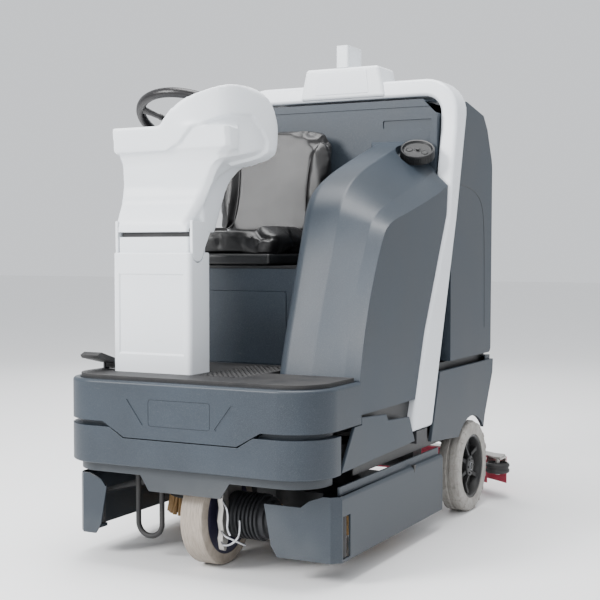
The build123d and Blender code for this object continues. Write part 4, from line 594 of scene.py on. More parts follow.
def settle(
    piece: bpy.types.Object, like: str, finish: Finish, replaces: bool = True, smooth: float = 34.0,
) -> bpy.types.Object:
    """Shade a piece, give it its finish, and put it on its body.

    Args:
        piece: The piece.
        like: The frame node whose body it takes.
        finish: Its finish.
        replaces: True when it stands for that node.
        smooth: Faces that meet at less than this many degrees are shaded as one.

    Returns:
        The same piece.
    """
    shape = bmesh.new()
    shape.from_mesh(piece.data)
    for face in shape.faces:
        face.smooth = True
    for edge in shape.edges:
        edge.smooth = not (
            len(edge.link_faces) == 2 and edge.calc_face_angle(0.0) > math.radians(smooth)
        )
    shape.to_mesh(piece.data)
    shape.free()
    piece.data.materials.clear()
    piece.data.materials.append(coat(finish))
    weighted = piece.modifiers.new("even_shading", "WEIGHTED_NORMAL")
    weighted.keep_sharp = True
    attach(piece, BODY_OF[like])
    if replaces:
        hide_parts(like)
    return piece


def baked(piece: bpy.types.Object) -> bpy.types.Object:
    """Apply a piece's modifiers to its mesh."""
    graph = bpy.context.evaluated_depsgraph_get()
    data = bpy.data.meshes.new_from_object(piece.evaluated_get(graph))
    piece.modifiers.clear()
    piece.data = data
    return piece


def combined(piece: bpy.types.Object, other: bpy.types.Object, operation: str) -> bpy.types.Object:
    """Cut or join a piece with another, which is used up.

    Args:
        piece: The piece to work on.
        other: The tool.
        operation: DIFFERENCE, INTERSECT or UNION.

    Returns:
        The worked piece.
    """
    work = piece.modifiers.new("work", "BOOLEAN")
    work.operation = operation
    work.solver = "EXACT"
    work.object = other
    bpy.context.view_layer.update()
    baked(piece)
    bpy.data.objects.remove(other)
    return piece


def tube(name: str, points: Sequence[Sequence[float]], radius: float,
    steps: int = 3) -> bpy.types.Object:
    """A round bar that follows a smooth line through points, as a mesh.

    Args:
        name: The piece's name.
        points: The line's control points, in millimetres.
        radius: The bar's radius.
        steps: How fine its round is.

    Returns:
        The bar.
    """
    curve = bpy.data.curves.new(name, "CURVE")
    curve.dimensions = "3D"
    curve.bevel_depth = radius * MM
    curve.bevel_resolution = steps
    curve.use_fill_caps = True
    curve.resolution_u = 8
    spline = curve.splines.new("NURBS")
    spline.points.add(len(points) - 1)
    for control, point in zip(spline.points, points):
        control.co = (point[0] * MM, point[1] * MM, point[2] * MM, 1.0)
    spline.order_u = 3
    spline.use_endpoint_u = True
    holder = bpy.data.objects.new(name + "_line", curve)
    bpy.context.scene.collection.objects.link(holder)
    bpy.context.view_layer.update()
    data = bpy.data.meshes.new_from_object(holder.evaluated_get(bpy.context.evaluated_depsgraph_get()))
    bpy.data.objects.remove(holder)
    piece = bpy.data.objects.new(name, data)
    bpy.context.scene.collection.objects.link(piece)
    return piece


@dataclass(frozen=True)
class Dress:
    """A frame node whose shape is right: its edges are eased and its finish laid."""

    node: str
    finish: Finish
    width: float = 1.0
    segments: int = 2
    rounds: tuple[tuple[float, Callable[[bmesh.types.BMEdge], bool]], ...] = ()

    def build(self) -> bpy.types.Object:
        """Ease the node's edges and finish it."""
        form = Form(self.node)
        for width, where in self.rounds:
            form.soften(width, 4, 24.0, where)
        if self.width:
            form.soften(self.width, self.segments, 32.0)
        return form.finish(f"{self.node}_eased", self.node, self.finish, outwards=False)


# ---------------------------------------------------------------- studio
@dataclass
class Studio:
    """Pale floor, soft lights and the camera."""

    camera_place: tuple[float, float, float] = (1.8232, -3.6447, 0.92)
    camera_turn: tuple[float, float, float] = (87.61, 0.0, 27.3)
    lens: float = 72.0
    floor_size: float = 60.0
    lights: tuple = field(default_factory=lambda: (
        ("key", (-2.4, -4.2, 3.2), 1.8, 330.0),
        ("front", (1.4, -4.8, 2.4), 2.2, 60.0),
        ("side", (4.6, -0.6, 2.4), 1.6, 10.0),
        ("top", (0.0, -0.4, 4.8), 2.6, 300.0),
        ("back", (-2.5, 4.0, 3.0), 2.5, 70.0),
    ))

    def build(self) -> list[bpy.types.Object]:
        """Lay the floor, hang the lights and place the camera."""
        camera = bpy.data.objects.new("camera", bpy.data.cameras.new("camera"))
        camera.data.lens = self.lens
        camera.location = self.camera_place
        camera.rotation_euler = [math.radians(angle) for angle in self.camera_turn]
        bpy.context.scene.collection.objects.link(camera)
        bpy.context.scene.camera = camera
        for name, place, size, power in self.lights:
            light = bpy.data.lights.new(name, "AREA")
            light.size = size
            light.energy = power
            lamp = bpy.data.objects.new(name, light)
            lamp.location = place
            aim = Vector((0, 0, 0.8)) - Vector(place)
            lamp.rotation_euler = aim.to_track_quat("-Z", "Y").to_euler()
            bpy.context.scene.collection.objects.link(lamp)
        world = bpy.data.worlds.new("studio")
        world.use_nodes = True
        world.node_tree.nodes["Background"].inputs[0].default_value = SKY
        world.node_tree.nodes["Background"].inputs[1].default_value = 1.0
        bpy.context.scene.world = world
        form = Form()
        half = self.floor_size / 2 / MM
        bmesh.ops.create_grid(form.mesh, x_segments=1, y_segments=1, size=half)
        floor = form.raw("floor", False)
        shader = Shader("pale_floor")
        floor.data.materials.append(shader.finish(Base_Color=FLOOR, Roughness=0.6))
        return [floor]


# ---------------------------------------------------------------- column, console and wheel
@dataclass
class Column:
    """White lower cover with its recessed panel, neck band and the notches for the console's lobes."""

    wall_round: float = 14.0
    shoulder_z: float = 912.0
    neck_inset: float = 13.0
    panel_margin: float = 26.0
    panel_low: float = 612.0
    panel_high: float = 850.0
    panel_depth: float = 4.0
    pivot: Point = (-668.0, 916.0)
    notch_r: float = 34.0

    def build(self) -> list[bpy.types.Object]:
        """Build the cover."""
        low, high = node_box("column_cover")
        form = Form()
        form.block(low, (high.x, high.y, self.shoulder_z))
        form.soften(self.wall_round, 5, 60, lambda e: abs(e.verts[0].co.z - e.verts[1].co.z) > 100)
        form.soften(4.0, 3, 40, lambda e: min(v.co.z for v in e.verts) > self.shoulder_z - 1)
        form.mesh.normal_update()
        front = [f for f in form.mesh.faces if f.normal.y < -0.999 and f.calc_area() > 10000]
        bmesh.ops.inset_region(form.mesh, faces=front, thickness=self.panel_margin - self.wall_round)
        for corner in {v for f in front for v in f.verts}:
            corner.co.z = self.panel_high if corner.co.z > 700 else self.panel_low
        bmesh.ops.inset_region(form.mesh, faces=front, thickness=5.0, depth=-self.panel_depth)
        form.soften(1.6, 3, 20, lambda e: all(
            self.panel_low - 1 < v.co.z < self.panel_high + 1 and v.co.y < low.y + 5 for v in e.verts))
        cover = form.raw("column_skin")
        cutter = Form()
        for x in (low.x, high.x):
            cutter.drum(
                turned_to((1, 0, 0), (x - self.neck_inset, *self.pivot)), self.notch_r, 26.0, 48
            )
        combined(cover, cutter.raw("notches"), "DIFFERENCE")
        settle(cover, "column_cover", WHITE)
        neck = Form()
        inset = self.neck_inset
        neck.block(
            (low.x + inset, low.y + inset, self.shoulder_z - 40),
            (high.x - inset, high.y - inset / 2, high.z))
        neck.soften(8.0, 4, 60, lambda e: abs(e.verts[0].co.z - e.verts[1].co.z) > 30)
        neck.soften(1.5)
        return [cover, neck.finish("column_neck", "column_cover", WHITE, False)]


@dataclass
class Console:
    """Tilting console: one smooth moulding whose left end swells into the pod round the wheel."""

    voxel: float = 5.0
    smoothing: int = 9
    low_z: float = 972.0
    pivot: Point = (-668.0, 916.0)
    lobe_r: float = 30.0
    side: tuple[Point, ...] = (
        (-700, 940), (-694, 1000), (-666, 1060), (-661, 1110), (-676, 1170), (-694, 1200), (-706, 1212),
        (-714, 1282), (-620, 1276), (-500, 1216), (-446, 1184), (-500, 1109), (-538, 1035),
        (-572, 972), (-590, 940))
    front_half: tuple[Point, ...] = (
        (-321, 940), (-70, 940), (-66, 1000), (-50, 1040), (-24, 1090), (8, 1145), (40, 1180),
        (84, 1206),
        (84, 1300), (-321, 1300))
    rear_half: tuple[Point, ...] = (
        (-321, 940), (-47, 940), (-47, 1090), (-37, 1129), (-16, 1158), (19, 1176), (70, 1194),
        (70, 1300),
        (-321, 1300))
    plan: tuple[Point, ...] = (
        (-190, -716), (-100, -716), (-10, -704), (60, -664), (92, -580), (98, -480), (90, -420),
        (58, -392),
        (18, -396), (14, -460), (-6, -540), (-48, -602), (-110, -648), (-190, -652))
    profile: tuple[Point, ...] = (
        (-664, 1060), (-600, 1080), (-500, 1166), (-450, 1196), (-424, 1262), (-434, 1310),
        (-480, 1362),
        (-560, 1402), (-718, 1402), (-716, 1290), (-706, 1214), (-694, 1202), (-676, 1170),
        (-661, 1110))
    front: tuple[Point, ...] = (
        (-190, 1100), (-47, 1096), (-22, 1146), (20, 1172), (76, 1186), (100, 1216), (106, 1262),
        (104, 1330),
        (98, 1372), (78, 1396), (50, 1398), (0, 1382), (-60, 1362), (-104, 1338), (-134, 1306),
        (-162, 1276),
        (-190, 1270))
    seam_front: tuple[Point, ...] = (
        (-330, 1206), (-133, 1209), (-89, 1231), (-45, 1276), (24, 1298), (60, 1312), (130, 1318))
    seam_side: tuple[Point, ...] = (
        (1150, -620), (1192, -532), (1213, -505), (1244, -501), (1279, -532), (1315, -585),
        (1420, -760))
    rim_proud: float = 9.0
    strip: float = 30.0

    @staticmethod
    def common(*slabs: tuple[tuple[Point, ...], Axis, float, float]) -> bpy.types.Object:
        """What several slabs have in common."""
        pieces = []
        for outline, axis, start, end in slabs:
            form = Form()
            form.slab(outline, axis, start, end)
            pieces.append(form.raw("slab"))
        for tool in pieces[1:]:
            combined(pieces[0], tool, "INTERSECT")
        return pieces[0]

    def below_rim(self, point: Vector) -> float:
        """How far inside the rim band's lower line a point is, from 0 to 1."""
        under = along(self.seam_front, point.x) - point.z
        if point.x > 10:
            under = min(under, along(self.seam_side, point.z) - point.y)
        step = min(max(under / 5.0, 0.0), 1.0)
        fade = min(max((point.z - 1080) / 90, 0.0), 1.0)
        return step * step * (3 - 2 * step) * fade

    def moulding(self) -> bpy.types.Object:
        """The console's skin, grown together and smoothed."""
        pod = self.common(
            (flowing(self.plan), Axis.Z, 1000, 1500), (flowing(self.profile), Axis.X, -300, 200),
            (flowing(self.front), Axis.Y, -900, -300))
        ahead = self.common((self.side, Axis.X, -321, 120), (self.front_half, Axis.Y, -800, -636))
        ridge = Form(mesh=ahead.data)
        ridge.soften(self.strip, 1, 30, lambda e: all(
            v.co.x > -110 and v.co.y < -655 and 941 < v.co.z < 1290 for v in e.verts))
        bpy.data.objects.remove(ahead)
        ahead = ridge.raw("console_front")
        behind = self.common((self.side, Axis.X, -321, 120), (self.rear_half, Axis.Y, -640, -300))
        skin = combined(combined(ahead, behind, "UNION"), pod, "UNION")
        grown = skin.modifiers.new("grown", "REMESH")
        grown.mode = "VOXEL"
        grown.voxel_size = self.voxel * MM
        smooth = skin.modifiers.new("smooth", "SMOOTH")
        smooth.iterations = self.smoothing
        smooth.factor = 0.5
        baked(skin)
        shape = bmesh.new()
        shape.from_mesh(skin.data)
        shape.normal_update()
        shifts = [(v, v.normal * -self.below_rim(v.co / MM) * self.rim_proud * MM) for v in shape.verts]
        for corner, shift in shifts:
            corner.co += shift
        geometry = shape.verts[:] + shape.edges[:] + shape.faces[:]
        bmesh.ops.bisect_plane(
            shape, geom=geometry, plane_co=(0, 0, self.low_z * MM), plane_no=(0, 0, 1),
                clear_inner=True)
        rim = [e for e in shape.edges if e.is_boundary]
        bmesh.ops.edgeloop_fill(shape, edges=rim)
        shape.to_mesh(skin.data)
        shape.free()
        return skin

    def build(self) -> list[bpy.types.Object]:
        """Build the moulding, its side lobes and the face's fittings."""
        skin = self.moulding()
        fine = skin.modifiers.new("fine", "SUBSURF")
        fine.levels = fine.render_levels = 1
        settle(skin, "console_shell", WHITE, smooth=60)
        low, high = node_box("column_cover")
        lobes = Form()
        pivot_y, pivot_z = self.pivot
        radius = self.lobe_r
        arc = [
            (
                pivot_y + radius * math.cos(math.radians(turn)), pivot_z + radius * math.sin(
                    math.radians(turn)
                )
            )
            for turn in range(190, 351, 10)]
        outline = [(-699, 1006), (-699, 960), *arc, (-608, 958), (-581, 1000)]
        for x, way in ((low.x, 1), (high.x, -1)):
            lobes.slab(outline, Axis.X, x + way * 0.4, x + way * 10)
        lobes.soften(2.4, 3, 40)
        boot = Form()
        boot.block((low.x + 16, -686, 952), (high.x - 16, -592, 984))
        boot.soften(6.0, 3, 60)
        pieces = [
            skin, lobes.finish("console_lobes", "console_shell", WHITE, False),
            boot.finish("console_boot", "column_cover", RUBBER, False)]
        for node, finish in (
            ("console_frame", STEEL), ("display", SCREEN), ("brush_button", BUTTON),
            ("water_button", BUTTON),
            ("suction_button", BUTTON), ("key_switch", BRIGHT), ("emergency_stop", RED_CAP),
        ):
            pieces.append(Dress(node, finish, 0.8).build())
        return pieces


@dataclass
class SteeringWheel:
    """Rim with a soft grip, three oval spokes with collars, a dished hub and the horn button."""

    tilt: float = 28.0
    rim_r: float = 165.0
    tube_r: float = 14.0
    spoke_turns: tuple[float, ...] = (90.0, 215.0, 325.0)

    def place(self) -> Matrix:
        """The wheel's centre, with local Z along the shaft."""
        low, high = node_box("steering_wheel")
        centre = ((low.x + high.x) / 2, -480.0, 1312.0)
        return Matrix.Translation(centre) @ Matrix.Rotation(math.radians(-self.tilt), 4, "X")

    def build(self) -> list[bpy.types.Object]:
        """Build the wheel and its button."""
        place = self.place()
        form = Form()
        ring = [
            (
                self.rim_r + self.tube_r * math.cos(math.radians(a)), 1.12 * self.tube_r * math.sin(
                    math.radians(a)
                )
            )
            for a in range(0, 360, 24)]
        form.turn(ring, place, 96)
        form.turn(
            [(0, 4), (24, 4), (33, 1), (37, -8), (37, -22), (26, -32), (24, -46), (0, -46)], place,
            48, False
        )
        form.drum(place @ Matrix.Translation((0, 0, -150)), 12.0, 110.0, 24)
        for turn in self.spoke_turns:
            spoke = place @ Matrix.Rotation(math.radians(turn), 4, "Z") @ Matrix.Rotation(
                math.radians(90), 4, "Y"
            )
            rings = []
            for reach, half_wide, half_thick, drop in (
                (30, 18, 7, 14), (60, 14, 6.5, 13), (92, 12.5, 6.5, 11), (94, 15, 8.5, 11),
                (102, 15, 8.5, 10),
                (104, 12.5, 7, 10), (130, 13.5, 7.5, 6), (158, 20, 9, 2),
            ):
                rings.append([
                    spoke @ Vector((
                        drop + half_thick * math.sin(math.radians(a)),
                            half_wide * math.cos(math.radians(a)), reach))
                    for a in range(0, 360, 30)])
            form.sweep(rings)
        wheel = form.finish("steering_wheel_grip", "steering_wheel", GRIP)
        return [wheel, Dress("horn_button", BLACK, 1.5).build()]


# ---------------------------------------------------------------- body covers
@dataclass
class Bumper:
    """Front bumper, its band and lip, the platform, mat and pedal."""

    stud_pitch: float = 17.0
    stud_area: tuple[float, float, float, float] = (-20.0, 118.0, -700.0, -390.0)

    def studs(self) -> bpy.types.Object:
        """Rows of raised ovals on the mat."""
        _, high = node_box("floor_mat")
        form = Form()
        x0, x1, y0, y1 = self.stud_area
        row, y = 0, y0
        while y < y1:
            x = x0 + (row % 2) * self.stud_pitch / 2
            while x < x1:
                place = Matrix.Translation((x, y, high.z - 1)) @ Matrix.Diagonal((6.5, 3.6, 3.0, 1.0))
                bmesh.ops.create_uvsphere(
                    form.mesh, u_segments=8, v_segments=5, radius=1.0, matrix=place
                )
                x += self.stud_pitch
            y += self.stud_pitch * 0.72
            row += 1
        return form.finish("mat_studs", "floor_mat", RUBBER, False)

    def build(self) -> list[bpy.types.Object]:
        """Build the bumper group."""
        top = (
            9.0, lambda e: min(v.co.z for v in e.verts) > 545.5 and e.verts[0].co.z < 547 and self.outer(
                e
            )
        )
        skirt = (5.0, lambda e: max(v.co.z for v in e.verts) < 303.5 and self.outer(e))
        return [
            Dress("front_bumper", BODY, 1.6, 3, (top,)).build(),
            Dress("bumper_band", BODY, 1.8, 3, (skirt,)).build(),
            Dress("bumper_lip", LIP, 1.4, 3).build(),
            Dress("platform_pan", STEEL, 0.8).build(),
            Dress("floor_mat", RUBBER, 0.8).build(),
            Dress("drive_pedal", RUBBER, 1.6, 3).build(),
            self.studs(),
        ]

    @staticmethod
    def outer(edge: bmesh.types.BMEdge) -> bool:
        """Whether an edge lies on the bumper's outer plan line."""
        middle = (edge.verts[0].co + edge.verts[1].co) / 2
        if abs(middle.x) > 428.5 or middle.y < -848.5:
            return True
        corner = Vector((math.copysign(300.0, middle.x), -720.0))
        return middle.y < -720 and abs(middle.x) > 300 and (Vector(middle[:2]) - corner).length > 127.0


@dataclass
class SolutionTank:
    """The arm-like tank left of the driver, and its ribbed filler cap."""

    inner_x: float = 130.0
    crease_x: float = 256.0
    leg_x: float = 367.0
    rear_y: float = 179.0
    shoulder_round: float = 42.0
    inner: tuple[Point, ...] = (
        (-536, 450), (-534, 540), (-462, 755), (-387, 959), (-343, 1087), (-243, 1150), (-30, 1226))
    crease: tuple[Point, ...] = (
        (-542, 450), (-548, 537), (-467, 753), (-375, 982), (-335, 1076), (-223, 1159), (-20, 1226))
    outer: tuple[Point, ...] = (
        (-556, 450), (-560, 546), (-500, 759), (-397, 957), (-340, 1003), (-189, 1036), (76, 1106))
    cap_lean: float = 34.0
    cap_turn: float = 14.0
    cap_r: float = 58.0

    def section(self, x: float) -> list[tuple[float, float, float]]:
        """The tank's outline at one X, closed at the rear or along the hoop's leg."""
        if x <= self.crease_x:
            share = (x - self.inner_x) / (self.crease_x - self.inner_x)
            first, second, tops = self.inner, self.crease, (1292.0, 1290.0)
        else:
            share = (x - self.crease_x) / (420.0 - self.crease_x)
            first, second, tops = self.crease, self.outer, (1290.0, 1135.0)
        front = [
            (a[0] + (b[0] - a[0]) * share, a[1] + (b[1] - a[1]) * share) for a, b in zip(first, second)]
        top = tops[0] + (tops[1] - tops[0]) * share
        if x < self.leg_x + 1:
            rear = [(self.rear_y, top), (self.rear_y, 1037), (self.rear_y, 664), (self.rear_y, 450)]
        else:
            rear = [(150, top), (138, 1037), (-57, 664), (-135, 450)]
        return [(x, y, z) for y, z in flowing(front + rear[:1], 3, False) + rear[1:]]

    def filler(self) -> Matrix:
        """The filler's place, with local Z out of the tank."""
        lean = Matrix.Rotation(math.radians(self.cap_lean), 4, "X")
        return Matrix.Translation((318, 130, 1232)) @ lean @ Matrix.Rotation(
            math.radians(self.cap_turn), 4, "Y"
        )

    def tank(self) -> bpy.types.Object:
        """The tank's skin with its scoop for the filler."""
        form = Form()
        stations = (self.inner_x, self.crease_x, self.leg_x, self.leg_x + 1.5, 420.0)
        form.sweep([self.section(x) for x in stations])
        form.soften(self.shoulder_round, 7, 30, lambda e: all(
            abs(v.co.x - self.inner_x) < 1 and v.co.y < 170 and v.co.z > 451 for v in e.verts))
        form.soften(5.0, 3, 1, lambda e: all(abs(v.co.x - self.crease_x) < 1 for v in e.verts))
        form.soften(10.0, 4, 20, lambda e: all(v.co.x > 419 and v.co.z > 452 for v in e.verts))
        skin = form.raw("solution_tank_skin")
        scoop = Form()
        place = self.filler()
        scoop.turn([(0, -2), (self.cap_r + 8, -2), (self.cap_r + 26, 70), (0, 70)], place, 64, False)
        combined(skin, scoop.raw("scoop"), "DIFFERENCE")
        return settle(skin, "solution_tank", BODY, smooth=24)

    def cap(self) -> bpy.types.Object:
        """The screw cap: ribbed edge, dished top, centre screw and two shallow rounds."""
        place = self.filler()
        form = Form()
        radius = self.cap_r
        form.turn(
            [(0, 28), (10, 28), (12, 26), (46, 26), (50, 33), (radius - 3, 34), (radius, 30),
            (radius, 4),
             (radius - 4, 1), (0, 1)], place, 96, False)
        form.mesh.normal_update()
        axis = (place.to_3x3() @ Vector((0, 0, 1))).normalized()
        rim = [f for f in form.mesh.faces if abs(f.normal.dot(axis)) < 0.2 and f.calc_area() > 60]
        ordered = sorted(
            rim, key=lambda f: math.atan2(*(place.inverted() @ f.calc_center_median())[:2])
        )
        bmesh.ops.inset_individual(form.mesh, faces=ordered[::2], thickness=0.5, depth=-2.2)
        form.drum(place @ Matrix.Translation((0, 0, 26)), 7.0, 7.0, 6)
        for side in (-1, 1):
            form.turn(
                [(0, 27.2), (9, 27.2), (10.5, 28.4), (12, 27.2), (12, 25), (0, 25)],
                place @ Matrix.Translation((side * 27, -6, 0)), 24, False)
        form.soften(0.7, 2, 40)
        return form.finish("filler_cap_ribbed", "filler_cap", BLACK)

    def build(self) -> list[bpy.types.Object]:
        """Build the tank and its cap."""
        return [self.tank(), self.cap()]


@dataclass
class RecoveryTank:
    """The tall tank behind the hoop, its lid and the panel lines on its sides."""

    edge_round: float = 16.0
    seam: tuple[Point, ...] = ((283, 1143), (360, 1138), (430, 1124), (482, 1100), (512, 1060),
        (524, 1000),
                               (530, 900), (534, 640))

    def build(self) -> list[bpy.types.Object]:
        """Build the tank group."""
        def rear_edge(edge: bmesh.types.BMEdge) -> bool:
            """Outer edges along the tank's sides, top and rear."""
            return all(abs(v.co.x) > 419 and v.co.y > 330 and v.co.z > 560 for v in edge.verts)

        def back_curve(edge: bmesh.types.BMEdge) -> bool:
            """Edges across the tank's sloping back."""
            low_x = min(v.co.x for v in edge.verts)
            high_x = max(v.co.x for v in edge.verts)
            return high_x - low_x > 500 and min(v.co.y for v in edge.verts) > 500

        tank = Dress("recovery_tank", BODY, 1.4, 2,
            ((26.0, back_curve), (self.edge_round, rear_edge))).build(
            
        )
        lid = Dress("recovery_lid", BODY, 3.0, 3).build()
        pieces = [tank, lid]
        for side, name in ((1, "left"), (-1, "right")):
            line = [(side * 419.4, y, z) for y, z in self.seam]
            groove = tube(f"tank_seam_{name}", line, 1.5, 2)
            pieces.append(settle(groove, "recovery_tank", BLACK, False))
        return pieces


@dataclass
class Hoop:
    """Leaning white hoop with generously rounded edges, its badge box and the beacon post."""

    half_width: float = 430.0
    bar: float = 60.0
    corner_r: float = 120.0
    foot_z: float = 350.0
    top_z: float = 1505.0
    edge_round: float = 13.0
    front_line: tuple[Point, ...] = ((350, -175), (664, -53), (1037, 142), (1330, 205), (1505, 218))
    rear_line: tuple[Point, ...] = ((350, -5), (1039, 220), (1399, 315), (1505, 334))

    def path(self, inward: float) -> list[Point]:
        """The hoop's (X, Z) line from the left foot to the right foot, moved inwards."""
        half = self.half_width - inward
        radius = self.corner_r - inward
        top = self.top_z - inward
        points = [(half, z) for z in (350, 500, 664, 850, 1037, 1200, 1330, top - radius)]
        for step in range(1, 8):
            turn = math.radians(step * 90 / 8)
            points.append(
                (half - radius + radius * math.cos(turn), top - radius + radius * math.sin(turn))
            )
        points += [(half - radius, top), (100, top)]
        return points + [(-x, z) for x, z in reversed(points)]

    def frame_bar(self) -> bpy.types.Object:
        """The bent bar."""
        rings = []
        for (xo, zo), (xi, zi) in zip(self.path(0.0), self.path(self.bar)):
            rings.append([
                (xo, along(self.front_line, zo), zo), (xo, along(self.rear_line, zo), zo),
                (xi, along(self.rear_line, zi), zi), (xi, along(self.front_line, zi), zi)])
        form = Form()
        form.sweep(rings)
        form.soften(self.edge_round, 5, 40)
        return form.finish("hoop_bar", "hoop_frame", HOOP_WHITE, smooth=40)

    def badge_box(self) -> list[bpy.types.Object]:
        """The trapezoid box at the hoop's top, with a blank raised plate."""
        low, high = node_box("hoop_badge_box")
        form = Form()
        half_low, half_high = high.x, high.x - 25
        form.slab([(-half_low, low.z), (half_low, low.z), (half_high, high.z),
            (-half_high, high.z)], Axis.Y,
                  low.y, high.y)
        form.soften(11.0, 5, 40)
        box = form.finish("badge_box", "hoop_badge_box", WHITE, smooth=40)
        plate = Form()
        plate.slab([(-104, low.z + 17), (104, low.z + 17), (96, high.z - 15), (-96, high.z - 15)],
            Axis.Y,
                   low.y - 1.6, low.y + 3)
        plate.soften(1.0, 2)
        return [box, plate.finish("badge_plate", "hoop_badge_box", HOOP_WHITE, False)]

    def build(self) -> list[bpy.types.Object]:
        """Build the hoop group."""
        return [self.frame_bar(), *self.badge_box(), Dress("beacon_post", WHITE, 1.5, 3).build()]


@dataclass
class SideCovers:
    """Sill trims, fenders, battery compartment and the right cover."""

    def build(self) -> list[bpy.types.Object]:
        """Build the covers."""
        return [
            Dress("side_trims", BODY, 2.0, 3).build(),
            Dress("rear_fenders", BODY, 1.8, 3).build(),
            Dress("battery_box", BODY, 1.6, 3).build(),
            Dress("side_cover_right", BODY, 2.0, 3).build(),
            Dress("batteries", CASE, 1.5).build(),
            Dress("seat_deck", BLACK, 2.0, 3).build(),
            Dress("seat_frame", STEEL, 1.0).build(),
            Dress("column_post", STEEL, 0.8).build(),
        ]


# ---------------------------------------------------------------- seat
@dataclass
class Seat:
    """Vinyl cushion and back with bolsters, puffed by cloth pressure and edged with piping."""

    voxel: float = 6.0
    travel: float = 0.022
    frames: int = 20
    pressure: float = 4.0
    wider: float = 36.0

    @staticmethod
    def rounded(x0: float, x1: float, y0: float, y1: float, radius: float,
        steps: int = 5) -> list[Point]:
        """A rounded rectangle's outline."""
        points = []
        for cx, cy, start in (
            (x1 - radius, y1 - radius, 0), (x0 + radius, y1 - radius, 90),
            (x0 + radius, y0 + radius, 180), (x1 - radius, y0 + radius, 270),
        ):
            for step in range(steps + 1):
                turn = math.radians(start + 90 * step / steps)
                points.append((cx + radius * math.cos(turn), cy + radius * math.sin(turn)))
        return points

    def grown(self, form: Form, name: str) -> bpy.types.Object:
        """Grow the form's blocks together into one even skin."""
        piece = form.raw(name)
        remesh = piece.modifiers.new("grown", "REMESH")
        remesh.mode = "VOXEL"
        remesh.voxel_size = self.voxel * MM
        return baked(piece)

    def puffed(self, piece: bpy.types.Object) -> bpy.types.Object:
        """Blow the skin up with cloth pressure and cap how far a point may move."""
        rest = [v.co.copy() for v in piece.data.vertices]
        cloth = piece.modifiers.new("puff", "CLOTH")
        cloth.settings.use_pressure = True
        cloth.settings.uniform_pressure_force = self.pressure
        cloth.settings.effector_weights.gravity = 0.0
        cloth.settings.tension_stiffness = 18
        cloth.settings.compression_stiffness = 18
        cloth.settings.bending_stiffness = 2.0
        scene = bpy.context.scene
        for number in range(1, self.frames + 1):
            scene.frame_set(number)
        baked(piece)
        scene.frame_set(1)
        for vertex, start in zip(piece.data.vertices, rest):
            moved = vertex.co - start
            if moved.length > self.travel:
                vertex.co = start + moved.normalized() * self.travel
        smooth = piece.modifiers.new("smooth", "SMOOTH")
        smooth.iterations = 4
        baked(piece)
        fine = piece.modifiers.new("fine", "SUBSURF")
        fine.levels = fine.render_levels = 1
        return piece

    def lean(self, z: float) -> float:
        """How far back the seat back's front face is at a height, in millimetres."""
        line = ((930, 8), (1050, 34), (1200, 62), (1342, 84))
        return along(line, z)

    def back(self) -> bpy.types.Object:
        """The backrest: a tapering pad with a raised bolster down each side."""
        low, high = node_box("seat_back")
        middle = (low.x + high.x) / 2
        half = (high.x - low.x) / 2 + self.wider
        form = Form()
        pad = [(middle + side * w, z) for side, w, z in (
            (1, half - 34, 946), (1, half - 10, 1000), (1, half - 12, 1200), (1, half - 22, 1290),
            (1, half - 52, 1334), (1, half - 100, 1350), (-1, half - 100, 1350), (-1, half - 52, 1334),
            (-1, half - 22, 1290), (-1, half - 12, 1200), (-1, half - 10, 1000), (-1, half - 34, 946))]
        form.slab(pad, Axis.Y, 12, 46)
        for side in (-1, 1):
            wing = [(middle + side * w, z) for w, z in (
                (half - 16, 1000), (half - 8, 1120), (half - 14, 1236), (half - 30, 1292),
                (half - 52, 1300),
                (half - 72, 1240), (half - 78, 1120), (half - 66, 1010), (half - 40, 986))]
            form.slab(wing, Axis.Y, -14, 34)
        piece = self.grown(form, "seat_back_pad")
        for vertex in piece.data.vertices:
            vertex.co.y += self.lean(vertex.co.z / MM) * MM
        self.puffed(piece)
        settle(piece, "seat_back", VINYL, smooth=70)
        return piece

    def cushion(self) -> bpy.types.Object:
        """The seat cushion: a crowned pad, side bolsters and a rolled front with its tuft."""
        low, high = node_box("seat_cushion")
        form = Form()
        form.slab(
            self.rounded(low.x + 16, high.x - 16, low.y + 16, high.y - 12, 52), Axis.Z, low.z + 8,
                high.z - 2
        )
        for x0, x1 in ((low.x + 14, low.x + 92), (high.x - 92, high.x - 14)):
            form.slab(
                self.rounded(x0, x1, low.y + 40, high.y - 20, 34), Axis.Z, low.z + 20, high.z + 14
            )
        piece = self.grown(form, "seat_cushion_pad")
        self.puffed(piece)
        baked(piece)
        middle = Vector(((low.x + high.x) / 2 * MM, (low.y + 14) * MM, (high.z - 10) * MM))
        for vertex in piece.data.vertices:
            gap = vertex.co - middle
            pinch = math.exp(-(gap.x / 0.016) ** 2 - (gap.y / 0.03) ** 2 - (gap.z / 0.03) ** 2)
            vertex.co.y += 0.012 * pinch
            vertex.co.z -= 0.010 * pinch
        settle(piece, "seat_cushion", VINYL, smooth=70)
        return piece

    def piping(self, pad: bpy.types.Object, name: str, like: str,
        line: Sequence[Sequence[float]]) -> bpy.types.Object:
        """A thin welt laid on a pad's skin along a line.

        Args:
            pad: The pad.
            name: The welt's name.
            like: The pad's frame node.
            line: Points near the skin, in millimetres.

        Returns:
            The welt.
        """
        graph = bpy.context.evaluated_depsgraph_get()
        skin = pad.evaluated_get(graph)
        snapped = []
        for point in line:
            found, place, normal, _ = skin.closest_point_on_mesh(Vector(point) * MM)
            snapped.append((place + normal * 0.001) / MM if found else Vector(point))
        return settle(tube(name, snapped, 3.0, 3), like, VINYL, False)

